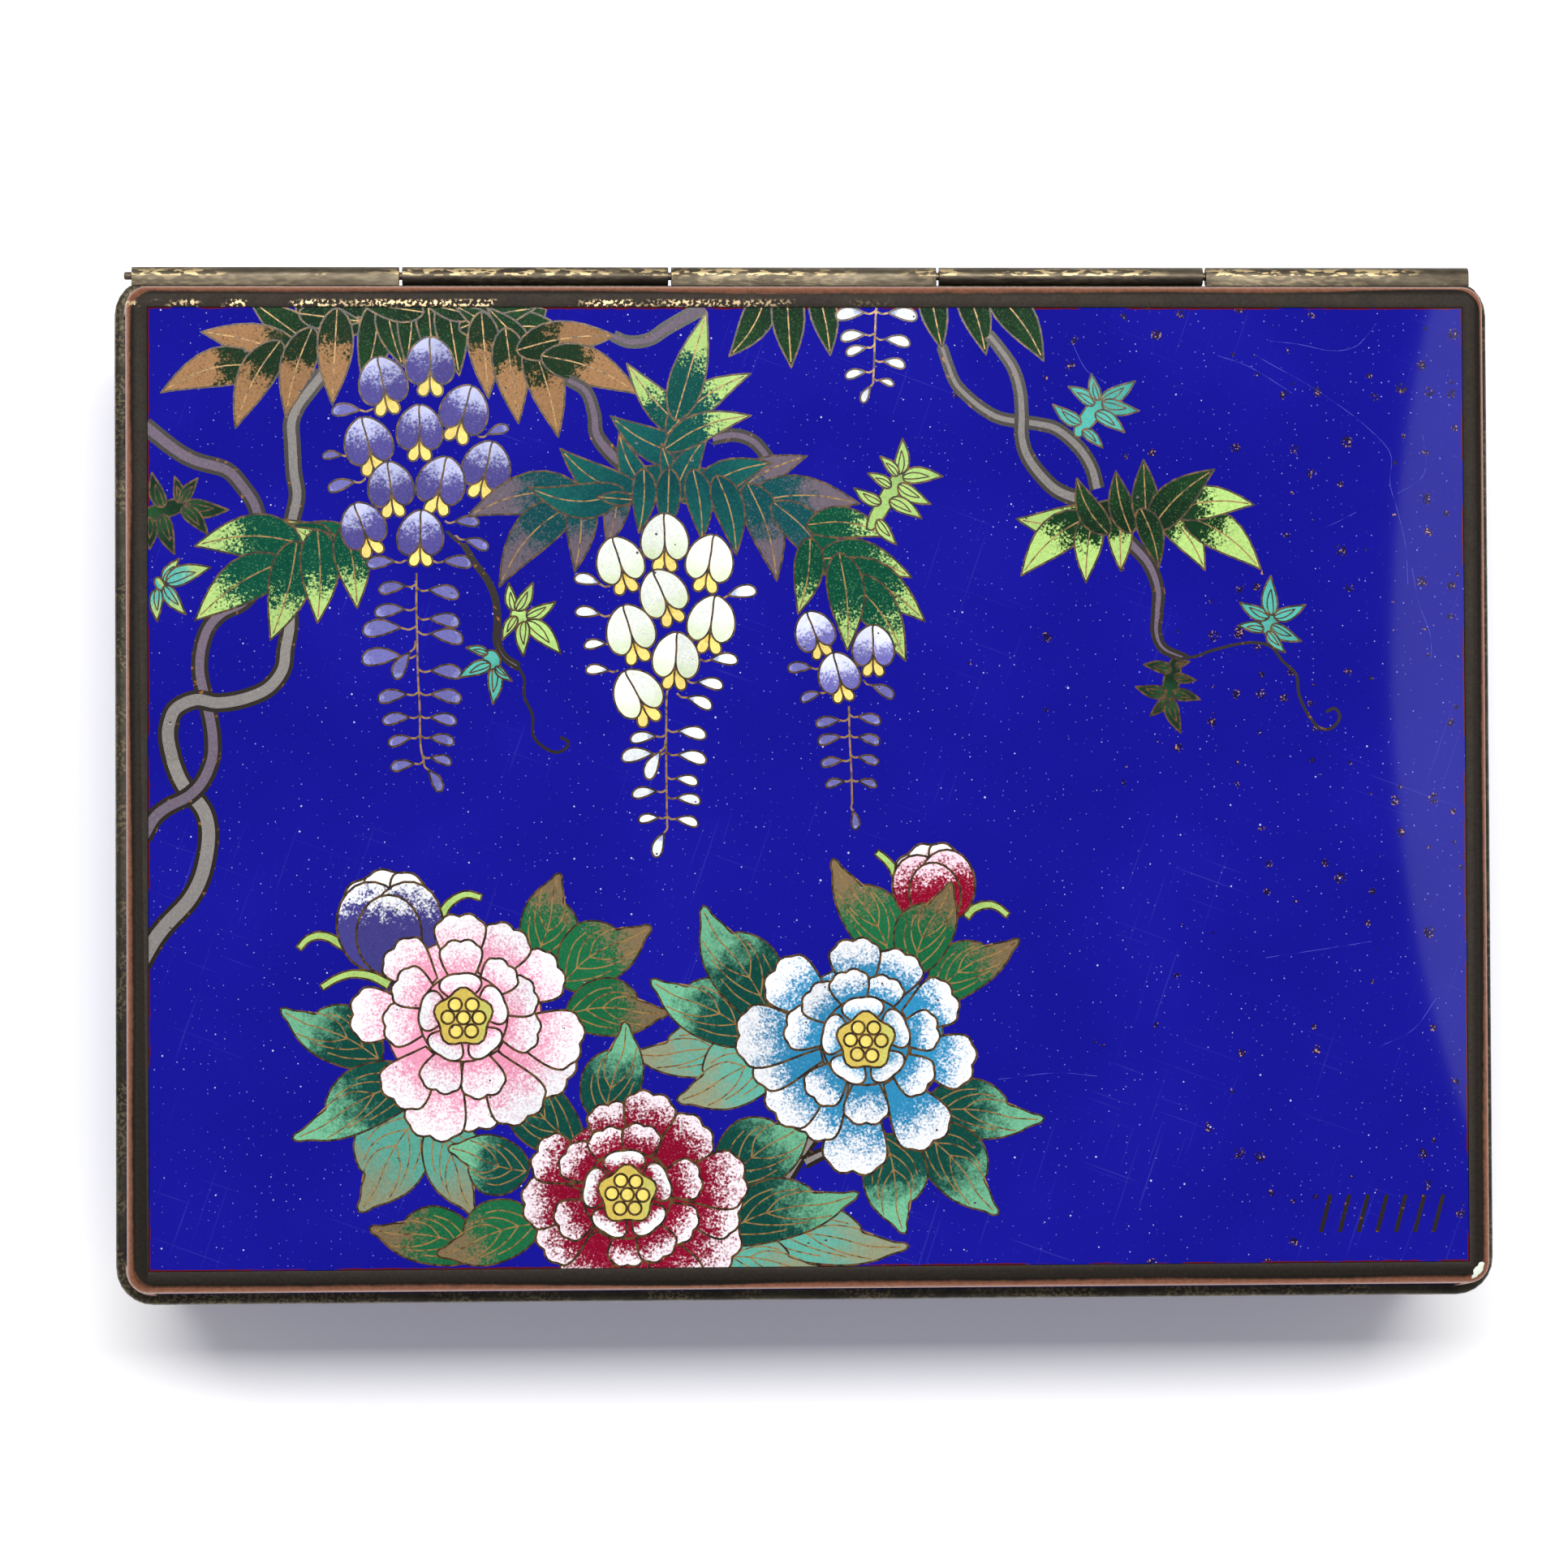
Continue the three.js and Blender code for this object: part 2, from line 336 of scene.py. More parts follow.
def band_sides(line, widths):
    left_side, right_side = [], []
    last = len(line) - 1
    for k, point in enumerate(line):
        ahead = line[min(k + 1, last)] - line[max(k - 1, 0)]
        out = side_of(ahead.normalized()) * (widths[0] + (widths[1] - widths[0]) * k / last) / 2
        left_side.append(point + out)
        right_side.append(point - out)
    return left_side, right_side


def lay_vine(route, start_width, end_width, enamel="vine_grey"):
    """route is in the photograph's pixels, and so are the widths, measured between the wires."""
    line = route_line(route, 6)
    sides = band_sides(line, (start_width * PIXEL, end_width * PIXEL))
    lay_cell(sides[0] + sides[1][::-1], enamel, line[0], line[-1], "wire_dark", 0.0)
    picture[-1]["shade"] = 0.5
    for side in sides:
        lay_wire(side, "wire_dark", WIRE_VINE)


def lay_tendril(route):
    lay_wire(route_line(route, 7), "wire_dark", WIRE_TENDRIL)


# %% [markdown]
# ## Peonies
# A peony is built from the outside in: a ring of broad petals, a second ring between them, a
# round cup of narrow petals, and a yellow heart with small rings for the stamens.

# %% Petals and whole flowers
RIM_POWER = 2.7
SCALLOP_DEPTH = 0.035
PETAL_STEPS = 26


def petal_outline(centre, angle, inner, outer, half_angle, scallops):
    """A fan between two radii about the flower's centre; angles in degrees."""
    points = []
    for k in range(PETAL_STEPS + 1):
        share = -math.cos(math.pi * k / PETAL_STEPS)
        bulge = (1 - abs(share) ** RIM_POWER) ** (1 / RIM_POWER)
        ripple = SCALLOP_DEPTH * outer * abs(math.sin(math.pi * scallops * (share + 1) / 2)) * bulge
        radius = inner + (outer - inner) * bulge + ripple
        narrow = 0.5 + 0.5 * bulge
        points.append(centre + polar(angle + half_angle * share * narrow, radius))
    return points


def lay_petal(centre, angle, inner, outer, half_angle, enamel, scallops=4):
    points = petal_outline(centre, angle, inner, outer, half_angle, scallops)
    lay_cell(points, enamel, centre + polar(angle, inner), centre + polar(angle, outer), width=WIRE_PETAL)


BACKING = 96 * PIXEL
OUTER_ROOT = 58 * PIXEL
MIDDLE_ROOT = 36 * PIXEL
CUP = 54 * PIXEL
CUP_ROOT = 22 * PIXEL
HEART = 34 * PIXEL
STAMEN = 8.2 * PIXEL
STAMEN_RING = 19 * PIXEL
OUTER_SPREAD, MIDDLE_SPREAD = 24, 27
CUP_PETALS = ((22, 46), (-50, 44), (168, 46), (-122, 44), (95, 48))


def disc(centre, radius, steps=32):
    return [centre + polar(360 * k / steps, radius) for k in range(steps)]


def heart_radius(degrees):
    """The heart's outline has five soft corners."""
    return HEART * (1 + 0.1 * math.sin(math.radians(5 * degrees)))


def lay_peony(centre_x, centre_y, outer_petals, middle_petals, enamel):
    """Petals are pairs of an angle in degrees and a reach in the photograph's pixels."""
    centre = on_lid(centre_x, centre_y)
    lay_cell(disc(centre, BACKING), enamel, centre, centre + Vector((0, 10 * MM)))
    for angle, reach in outer_petals:
        lay_petal(centre, angle, OUTER_ROOT, reach * PIXEL, OUTER_SPREAD, enamel)
    for angle, reach in middle_petals:
        lay_petal(centre, angle, MIDDLE_ROOT, reach * PIXEL, MIDDLE_SPREAD, enamel)
    lay_cell(disc(centre, CUP), enamel, centre, centre - Vector((0, 10 * MM)), width=WIRE_PETAL)
    for angle, half_angle in CUP_PETALS:
        lay_petal(centre, angle, CUP_ROOT, CUP, half_angle, enamel + "_cup", scallops=2)
    heart = [centre + polar(angle, heart_radius(angle)) for angle in range(0, 360, 12)]
    lay_cell(heart, "heart_yellow", centre, centre + Vector((HEART, 0)), width=WIRE_PETAL)
    lay_stamens(centre)


def lay_stamens(centre):
    """One ring in the middle and six round it, not quite evenly."""
    places = [(0, 0)] + [(60 * k + chance.uniform(-8, 8), STAMEN_RING) for k in range(6)]
    for degrees, radius in places:
        middle = centre + polar(degrees, radius)
        ring = disc(middle, STAMEN, 14)
        lay_cell(ring, "stamen_yellow", middle, middle + Vector((STAMEN, 0)), width=WIRE_PETAL)


# %% [markdown]
# Peony leaves are broad and hooked at the tip. One side runs smoothly to the hook and the
# other has a lobe that ends in a notch. The side veins leave the midrib in long curves.

# %% Peony leaves
SMOOTH_SIDE = [
    (0.0, 0.0), (0.05, 0.4), (0.2, 0.82), (0.42, 1.0), (0.62, 0.86), (0.78, 0.5), (0.89, 0.22),
    (0.97, 0.13), (1.0, 0.0)]
LOBED_SIDE = [
    (0.0, 0.0), (0.05, 0.45), (0.2, 0.9), (0.42, 1.06), (0.58, 0.94), (0.69, 0.62), (0.71, 0.42),
    (0.8, 0.38), (0.9, 0.22), (0.97, 0.13), (1.0, 0.0)]
VEIN_STARTS = (0.04, 0.2, 0.36)
# Each stop of a side vein: how far past its start, how far out, and how much less far if it starts late
VEIN_ROUTE = ((0.0, 0.0, 0.0), (0.12, 0.34, 0.0), (0.27, 0.65, 0.5), (0.42, 0.76, 0.95))
MIDRIB_SHARES = (0.05, 0.3, 0.55, 0.75, 0.95)
HOOK = 0.115
HOOK_START = 0.7
LEAF_BREADTH = 1.12
LEAF_HIDDEN = 0.14


def lay_peony_leaf(base_x, base_y, tip_x, tip_y, width, bow, enamel):
    """Base and tip in the photograph's pixels, width across the broadest part as well."""
    tip = on_lid(tip_x, tip_y)
    base = on_lid(base_x, base_y)
    base = base + (base - tip) * LEAF_HIDDEN
    line = tip - base
    left = side_of(line)
    half_width = width * PIXEL / 2 * LEAF_BREADTH
    lobed = 1 if bow >= 0 else -1

    def spot(t, across):
        """A point at a share of the leaf's length, and so many half widths to its left."""
        hook = HOOK * lobed * (max(0.0, (t - HOOK_START) / (1 - HOOK_START)) ** 2 - t * t)
        middle = base + line * t + left * (4 * bow * t * (1 - t) + hook)
        return middle + left.normalized() * across * half_width

    left_side = [spot(t, share) for t, share in (LOBED_SIDE if lobed > 0 else SMOOTH_SIDE)]
    right_side = [spot(t, -share) for t, share in (SMOOTH_SIDE if lobed > 0 else LOBED_SIDE)]
    outline = smooth_path(right_side, 4) + smooth_path(left_side[::-1], 4)[1:-1]
    lay_cell(outline, enamel, base, tip)
    midrib = [spot(t, 0) for t in MIDRIB_SHARES]
    lay_wire(smooth_path(midrib, 4), width=WIRE_VEIN)
    for start in VEIN_STARTS:
        for side in (-1, 1):
            vein = [spot(start + ahead, side * (out - less * start)) for ahead, out, less in VEIN_ROUTE]
            lay_wire(smooth_path(vein, 5), width=WIRE_VEIN)


def lay_peony_leaves(leaves, enamel):
    """Leaves given as base x, base y, tip x, tip y, width and bow, in the photograph's pixels."""
    for leaf in leaves:
        lay_peony_leaf(*leaf, enamel)


# %% [markdown]
# ## Drawing the picture
# Now the figures take their places. Sprays and flowers follow the usual garden of such boxes:
# wisteria from above, peonies below. Each is named after where it grows.

# %% Wisteria on the left
LEFT_STEM_UPPER = [(178, 524), (216, 554), (242, 568), (279, 579), (300, 601), (315, 625), (322, 660)]
LEFT_STEM_INNER = [
    (398, 460), (382, 480), (367, 500), (359, 521), (360, 545), (362, 582), (366, 610), (360, 640)]
TWIST_MAUVE = [
    (322, 715), (300, 742), (274, 755), (257, 773), (248, 799), (246, 825), (250, 849), (258, 882),
    (262, 909), (261, 935), (250, 962), (232, 981), (207, 994), (190, 1008), (176, 1032)]
TWIST_GREY = [
    (354, 735), (357, 768), (352, 799), (348, 825), (330, 848), (300, 861), (268, 866), (242, 862),
    (218, 872), (209, 889), (207, 909), (213, 938), (226, 968), (248, 994), (256, 1016), (256, 1043),
    (248, 1080), (232, 1110), (205, 1139), (189, 1160), (172, 1190)]
PASSES_UNDER, PASSES_OVER = 9, 12
lay_vine(TWIST_GREY[PASSES_UNDER:], 20, 22)
lay_vine(TWIST_MAUVE, 15, 18, "vine_mauve")
lay_vine(TWIST_GREY[:PASSES_OVER], 17, 20)
lay_vine(LEFT_STEM_UPPER, 17, 15, "vine_mauve")
lay_vine(LEFT_STEM_INNER, 15, 16)

# %% The leaves in the left corner
CORNER_DARK = [
    (383, 424, 306, 368, 0.0), (384, 388, 446, 396, 0.0), (464, 392, 447, 478, 0.03),
    (480, 384, 497, 452, -0.04), (506, 380, 500, 450, 0.03), (528, 380, 534, 447, 0.0),
    (553, 385, 566, 463, 0.0), (622, 407, 700, 409, 0.06), (585, 400, 660, 380, 0.05),
    (505, 382, 440, 372, 0.0), (570, 385, 520, 372, 0.0), (600, 398, 560, 376, 0.0),
    (640, 420, 600, 378, 0.0)]
CORNER_TAN = [
    (350, 441, 247, 409, -0.06), (300, 457, 198, 484, -0.1), (334, 442, 290, 528, -0.06),
    (378, 426, 352, 514, -0.04), (414, 404, 409, 499, 0.0), (595, 406, 602, 491, 0.0),
    (626, 428, 639, 522, 0.0), (661, 443, 688, 539, 0.03), (662, 428, 760, 414, 0.05),
    (692, 448, 788, 486, 0.07)]
CORNER_STALK_LOWER = [
    (306, 452), (345, 430), (400, 404), (460, 392), (530, 388), (600, 400), (650, 422), (690, 446)]
CORNER_STALK_UPPER = [(365, 384), (440, 378), (530, 376), (610, 380), (670, 394)]
lay_stalk(CORNER_STALK_LOWER, 34, "leaf_dark")
lay_stalk(CORNER_STALK_UPPER, 26, "leaf_dark")
lay_spray(CORNER_DARK, "leaf_dark", 0.4)
lay_spray(CORNER_TAN, "leaf_tan", 0.37)

# %% The spray and the stars at the left
LEFT_SPRAY = [
    (400, 662, 352, 640, 0.05), (388, 655, 318, 650, 0.1), (412, 672, 360, 648, 0.06),
    (345, 670, 239, 673, -0.08), (328, 706, 240, 765, -0.06), (359, 692, 333, 789, 0.04),
    (391, 676, 391, 768, 0.03), (428, 668, 440, 750, 0.03)]
LEFT_SPRAY_STALK = [(332, 690), (360, 672), (400, 664), (432, 672)]
lay_stalk(LEFT_SPRAY_STALK, 44, "leaf_green")
lay_spray(LEFT_SPRAY, "leaf_lime", 0.42)
DARK_STAR_STALK = (184, 634), (222, 622)
DARK_STAR = [(187, 582), (215, 587), (244, 589), (282, 628), (256, 659), (215, 683), (184, 677)]
lay_sprig(DARK_STAR_STALK, DARK_STAR, "sprig_dark")
PALE_STAR_STALK = (194, 722), (200, 719)
PALE_STAR = [(221, 688), (260, 699), (229, 757), (194, 766)]
lay_sprig(PALE_STAR_STALK, PALE_STAR, "sprig_pale")

# %% The purple raceme
PURPLE_BUDS_LOOSE = [
    (458, 504, 409, 507), (590, 538, 626, 527), (430, 560, 398, 562), (450, 590, 405, 603),
    (548, 642, 590, 644), (562, 660, 601, 676), (500, 690, 452, 696), (532, 690, 581, 695)]
lay_loose_buds(PURPLE_BUDS_LOOSE, "bud_lilac")
PURPLE_STEM = [(513, 706), (513, 743), (514, 789), (515, 835), (517, 870), (518, 916), (522, 938)]
PURPLE_LEFT = [
    (467, 728), (462, 756), (447, 778), (446, 813), (466, 862), (472, 889), (479, 917), (482, 947)]
PURPLE_RIGHT = [
    (565, 734), (566, 768), (570, 789), (569, 831), (568, 862), (562, 890), (559, 915), (556, 940)]
PURPLE_LAST = (543, 975)
PURPLE_BUD_IN_FRONT = [(512, 790, 487, 836)]
lay_raceme_end(PURPLE_STEM, PURPLE_LEFT, PURPLE_RIGHT, "bud_lilac", PURPLE_LAST)
lay_loose_buds(PURPLE_BUD_IN_FRONT, "bud_lilac")
PURPLE_BLOSSOMS = [
    (471, 469, 10), (530, 445, 0), (573, 504, -18), (517, 527, 0), (453, 543, 12), (600, 573, -14),
    (544, 592, -10), (481, 597, 6), (446, 647, 22), (518, 657, 0)]
lay_blossoms(PURPLE_BLOSSOMS, "blossom_lilac")

# %% The thin stem, its two stars and its tendril
STEM_TO_STARS = [
    (572, 672), (586, 695), (600, 714), (610, 737), (613, 766), (612, 789), (621, 809), (638, 821)]
lay_vine(STEM_TO_STARS, 3, 6, "vine_grey")
LIME_STAR_STALK = (634, 755), (646, 762)
LIME_STAR = [(627, 718), (657, 717), (685, 741), (691, 806), (645, 809), (619, 789)]
lay_sprig(LIME_STAR_STALK, LIME_STAR, "sprig_lime")
TURQUOISE_STAR_STALK = (603, 806), (609, 820)
TURQUOISE_STAR = [(574, 798), (565, 835), (607, 868), (631, 839)]
lay_sprig(TURQUOISE_STAR_STALK, TURQUOISE_STAR, "sprig_turquoise")
LEFT_TENDRIL = [
    (638, 821), (646, 837), (646, 858), (656, 881), (657, 906), (669, 920), (685, 927), (697, 922),
    (700, 914), (690, 908)]
LEFT_TENDRIL_ROOT = [(551, 655), (560, 664), (572, 673)]
lay_tendril(LEFT_TENDRIL)
lay_tendril(LEFT_TENDRIL_ROOT)

# %% Wisteria in the middle
MIDDLE_STEM_UPPER = [(756, 414), (775, 421), (800, 418), (825, 402), (868, 378)]
MIDDLE_STEM_LEFT = [(700, 468), (722, 482), (732, 510), (735, 535), (752, 558), (778, 580)]
MIDDLE_STEM_RIGHT = [(878, 540), (905, 536), (930, 545), (952, 572)]
lay_vine(MIDDLE_STEM_UPPER, 10, 14, "vine_mauve")
lay_vine(MIDDLE_STEM_LEFT, 10, 16, "vine_mauve")
lay_vine(MIDDLE_STEM_RIGHT, 12, 12, "vine_mauve")
MIDDLE_CROWN = [
    (840, 520, 772, 447, 0.05), (843, 520, 926, 460, 0.08), (841, 545, 926, 512, 0.08),
    (840, 490, 871, 384, 0.0)]
MIDDLE_TEAL = [
    (834, 552, 752, 512, 0.08), (846, 575, 846, 505, 0.0), (845, 605, 815, 546, 0.06),
    (793, 592, 763, 534, 0.08), (838, 602, 872, 536, 0.06), (875, 603, 952, 570, 0.08),
    (772, 600, 690, 552, 0.1), (745, 605, 651, 600, 0.12), (770, 615, 735, 612, 0.0),
    (880, 622, 905, 600, 0.0), (792, 594, 787, 657, 0.04), (824, 594, 822, 659, 0.0),
    (856, 596, 865, 666, 0.04), (888, 606, 907, 684, 0.06)]
MIDDLE_MAUVE = [
    (906, 622, 995, 562, 0.1), (946, 622, 1060, 621, 0.08), (692, 616, 575, 637, -0.1),
    (690, 640, 615, 724, -0.1), (712, 618, 708, 705, 0.05), (757, 604, 747, 675, 0.06),
    (928, 620, 957, 716, 0.06), (968, 640, 1028, 722, 0.1)]
MIDDLE_STALK_ACROSS = [(700, 625), (745, 604), (800, 592), (860, 594), (920, 612), (970, 636)]
MIDDLE_STALK_UP = [(842, 500), (842, 545), (840, 590)]
lay_stalk(MIDDLE_STALK_ACROSS, 36, "leaf_teal")
lay_stalk(MIDDLE_STALK_UP, 34, "leaf_teal")
lay_spray(MIDDLE_MAUVE, "leaf_mauve", 0.36)
lay_spray(MIDDLE_TEAL, "leaf_teal", 0.37)
lay_spray(MIDDLE_CROWN, "leaf_teal_lime", 0.31)

# %% The white raceme
WHITE_BUDS_LOOSE = [
    (752, 722, 708, 712), (752, 758, 709, 754), (758, 792, 720, 796), (762, 826, 722, 826),
    (882, 736, 932, 728), (862, 812, 909, 814), (846, 838, 891, 846), (834, 854, 877, 872)]
WHITE_STEM = [(829, 836), (822, 853), (821, 892), (821, 949), (822, 1014)]
WHITE_LEFT = [(777, 912), (766, 934), (779, 980), (787, 1011)]
WHITE_RIGHT = [(870, 907), (870, 938), (860, 965), (863, 988), (860, 1016)]
WHITE_LAST = (808, 1056)
WHITE_BUD_IN_FRONT = [(820, 912, 798, 960)]
lay_loose_buds(WHITE_BUDS_LOOSE, "bud_white")
lay_raceme_end(WHITE_STEM, WHITE_LEFT, WHITE_RIGHT, "bud_white", WHITE_LAST)
lay_loose_buds(WHITE_BUD_IN_FRONT, "bud_white")
WHITE_BLOSSOMS = [
    (763, 690, 14), (819, 662, 0), (875, 688, -10), (816, 730, 22), (877, 763, -6), (776, 775, 16),
    (833, 808, -4), (784, 853, 26)]
lay_blossoms(WHITE_BLOSSOMS, "blossom_white", 1.03)

# %% Wisteria right of the middle
HANGING_LEAVES = [
    (936, 372, 898, 439, 0.08), (970, 372, 975, 453, 0.0), (1010, 372, 1023, 438, 0.03),
    (1147, 365, 1161, 431, 0.0), (1193, 365, 1215, 437, 0.03), (1234, 374, 1286, 445, 0.06)]
HANGING_STEM = [(1080, 372), (1078, 415), (1077, 450), (1076, 468)]
HANGING_LEFT = [(1030, 390), (1036, 417), (1043, 436), (1042, 464)]
HANGING_RIGHT = [(1130, 391), (1121, 424), (1115, 451), (1101, 474)]
HANGING_LAST = (1063, 496)
lay_spray(HANGING_LEAVES, "leaf_dark", 0.4)
lay_raceme_end(HANGING_STEM, HANGING_LEFT, HANGING_RIGHT, "bud_white", HANGING_LAST)

SMALL_SPRAY = [
    (1015, 650, 1096, 662, 0.1), (1029, 694, 1124, 712, 0.1), (1050, 712, 1140, 766, 0.08),
    (1054, 730, 1116, 815, 0.08), (1036, 706, 1044, 802, 0.04), (995, 682, 983, 757, 0.05)]
SMALL_SPRAY_STALK = [(1000, 662), (1020, 680), (1045, 712)]
lay_stalk(SMALL_SPRAY_STALK, 40, "leaf_green")
lay_spray(SMALL_SPRAY, "leaf_green_lime", 0.38)
LIME_SPRIG_STALK = (1079, 638), (1108, 588)
LIME_SPRIG = [
    (1112, 540), (1084, 562), (1162, 587), (1069, 583), (1147, 621), (1052, 601), (1136, 639),
    (1105, 671)]
lay_sprig(LIME_SPRIG_STALK, LIME_SPRIG, "sprig_lime")

# %% The small purple raceme
SMALL_PURPLE_STEM = [(1046, 870), (1047, 910), (1049, 950), (1050, 990)]
SMALL_PURPLE_LEFT = [(1006, 893), (1008, 915), (1012, 942), (1018, 968)]
SMALL_PURPLE_RIGHT = [(1085, 890), (1084, 915), (1082, 940), (1080, 968)]
SMALL_PURPLE_LAST = (1054, 1022)
SMALL_PURPLE_LOOSE = [(1012, 822, 971, 824), (1064, 838, 1101, 859), (1020, 850, 987, 863)]
SMALL_PURPLE_BLOSSOMS = [(1003, 777, 20), (1076, 796, 0), (1033, 829, 12)]
lay_loose_buds(SMALL_PURPLE_LOOSE, "bud_lilac")
lay_raceme_end(SMALL_PURPLE_STEM, SMALL_PURPLE_LEFT, SMALL_PURPLE_RIGHT, "bud_lilac", SMALL_PURPLE_LAST)
lay_blossoms(SMALL_PURPLE_BLOSSOMS, "blossom_pale", 0.86)

# %% Wisteria on the right
RIGHT_STEM_UNDER = [
    (1161, 428), (1169, 452), (1178, 473), (1194, 490), (1213, 505), (1236, 516), (1278, 522),
    (1303, 529), (1329, 551), (1345, 576), (1352, 602)]
RIGHT_STEM_OVER = [
    (1219, 413), (1234, 432), (1249, 455), (1257, 483), (1259, 513), (1259, 538), (1266, 562),
    (1284, 587), (1306, 606), (1340, 618)]
RIGHT_STEM_LOW = [
    (1392, 668), (1415, 694), (1427, 726), (1426, 755), (1425, 780), (1434, 799), (1460, 811)]
lay_vine(RIGHT_STEM_UNDER, 9, 14)
lay_vine(RIGHT_STEM_OVER, 10, 16)
lay_vine(RIGHT_STEM_LOW, 14, 7, "vine_mauve")
RIGHT_DARK = [
    (1358, 644, 1327, 589, 0.08), (1390, 641, 1375, 580, 0.05), (1412, 632, 1409, 566, 0.0),
    (1434, 637, 1497, 578, 0.06), (1410, 641, 1428, 699, 0.05)]
RIGHT_LIME = [
    (1341, 636, 1252, 639, 0.08), (1327, 650, 1258, 710, -0.08), (1346, 648, 1338, 718, -0.03),
    (1380, 643, 1381, 704, 0.0), (1438, 640, 1485, 703, 0.08), (1478, 648, 1554, 702, 0.08),
    (1465, 628, 1546, 622, 0.08)]
RIGHT_STALK = [(1335, 642), (1380, 632), (1420, 636), (1468, 642)]
lay_stalk(RIGHT_STALK, 36, "leaf_dark")
lay_spray(RIGHT_LIME, "leaf_dark_lime", 0.4)
lay_spray(RIGHT_DARK, "leaf_dark", 0.4)
UPPER_STAR_STALK = (1332, 528), (1354, 496)
UPPER_STAR = [(1297, 498), (1316, 476), (1345, 460), (1399, 469), (1404, 506), (1386, 533), (1359, 552)]
lay_sprig(UPPER_STAR_STALK, UPPER_STAR, "sprig_turquoise")
LOWER_STAR_STALK = (1560, 776), (1567, 762)
LOWER_STAR = [(1527, 742), (1566, 709), (1609, 745), (1604, 790), (1584, 804), (1525, 771)]
lay_sprig(LOWER_STAR_STALK, LOWER_STAR, "sprig_turquoise")
HANGING_STAR_STALK = (1440, 858), (1447, 822)
HANGING_STAR = [
    (1409, 819), (1399, 846), (1417, 882), (1455, 903), (1479, 862), (1474, 838), (1466, 815)]
lay_sprig(HANGING_STAR_STALK, HANGING_STAR, "sprig_dark")
RIGHT_TENDRIL = [
    (1458, 811), (1476, 808), (1495, 801), (1536, 792), (1565, 796), (1581, 815), (1597, 831),
    (1601, 857), (1613, 882), (1626, 897), (1641, 897), (1651, 884), (1645, 873), (1634, 877)]
lay_tendril(RIGHT_TENDRIL)

# %% Peony leaves and branches
BRANCH_LONG = [(1018, 1380), (1000, 1402), (984, 1425), (968, 1450)]
BRANCH_SHORT = [(1022, 1418), (1008, 1424), (992, 1432)]
lay_vine(BRANCH_LONG, 14, 16)
lay_vine(BRANCH_SHORT, 10, 12)
LEAVES_OLIVE = [
    (659, 1172, 690, 1076, 62, -0.08), (706, 1205, 802, 1141, 70, 0.1),
    (712, 1250, 824, 1247, 62, 0.08), (1092, 1180, 1026, 1058, 62, -0.08),
    (1132, 1185, 1172, 1087, 62, 0.08), (1160, 1225, 1256, 1157, 56, 0.1),
    (572, 1540, 455, 1513, 62, -0.08), (650, 1512, 538, 1545, 66, -0.06)]
LEAVES_MINT = [
    (455, 1300, 346, 1243, 64, -0.06), (505, 1340, 360, 1403, 66, -0.08),
    (640, 1440, 552, 1415, 62, 0.06), (748, 1372, 770, 1259, 64, 0.03),
    (702, 1400, 614, 1300, 66, 0.08), (915, 1272, 802, 1207, 68, -0.06),
    (941, 1240, 866, 1116, 74, -0.04), (1150, 1375, 1287, 1378, 64, 0.08),
    (1140, 1405, 1230, 1496, 68, 0.08), (1092, 1412, 1115, 1520, 70, 0.04),
    (905, 1455, 1002, 1373, 78, 0.08), (905, 1518, 1058, 1470, 66, 0.08)]
LEAVES_SAGE = [
    (512, 1385, 442, 1493, 84, -0.06), (541, 1396, 584, 1496, 66, 0.05),
    (920, 1300, 772, 1297, 62, -0.06), (952, 1306, 834, 1356, 76, -0.06),
    (945, 1525, 1120, 1535, 64, 0.06), (890, 1552, 1012, 1562, 50, 0.06)]
lay_peony_leaves(LEAVES_SAGE, "peony_leaf_sage")
lay_peony_leaves(LEAVES_OLIVE, "peony_leaf_olive")
lay_peony_leaves(LEAVES_MINT, "peony_leaf_mint")

# %% Helpers for closed peonies
SEPAL_WIDTHS = (11 * PIXEL, 7.7 * PIXEL)
BUD_BACK_PETALS, BUD_BACK_SPREAD = (135, 100, 65), 34
BUD_SIDE_PETALS = (150, 30)
BUD_PETAL_ENDS = (0.5, 0.5)


def lay_sepal(route):
    line = route_line(route, 7)
    lay_cell(ribbon(line, SEPAL_WIDTHS), "sepal_lime", line[0], line[-1])


def lay_bud_flower(centre_x, centre_y, radius, lean, enamel):
    """A closed peony: three frilled petals, one to each side of it and one in front.

    The radius is in the photograph's pixels, and each length below is a share of it.
    """
    centre = on_lid(centre_x, centre_y)
    scale = radius * PIXEL
    foot = centre + polar(-90 + lean, scale)
    for angle in BUD_BACK_PETALS:
        lay_petal(
            centre, angle + lean, 0.1 * scale, 1.08 * scale, BUD_BACK_SPREAD, enamel + "_rim", scallops=3)
    for angle in BUD_SIDE_PETALS:
        root = foot + polar(angle + lean, scale * 0.16)
        tip = centre + polar(90 + (angle - 90) * 0.5 + lean, scale * 0.98)
        petal = lens_outline(root, tip, scale * 1.45, BUD_PETAL_ENDS)
        lay_cell(petal, enamel, foot, tip, width=WIRE_PETAL)
    tip = centre + polar(92 + lean, scale * 0.6)
    petal = lens_outline(foot, tip, scale * 1.3, BUD_PETAL_ENDS)
    lay_cell(petal, enamel, foot, tip, width=WIRE_PETAL)


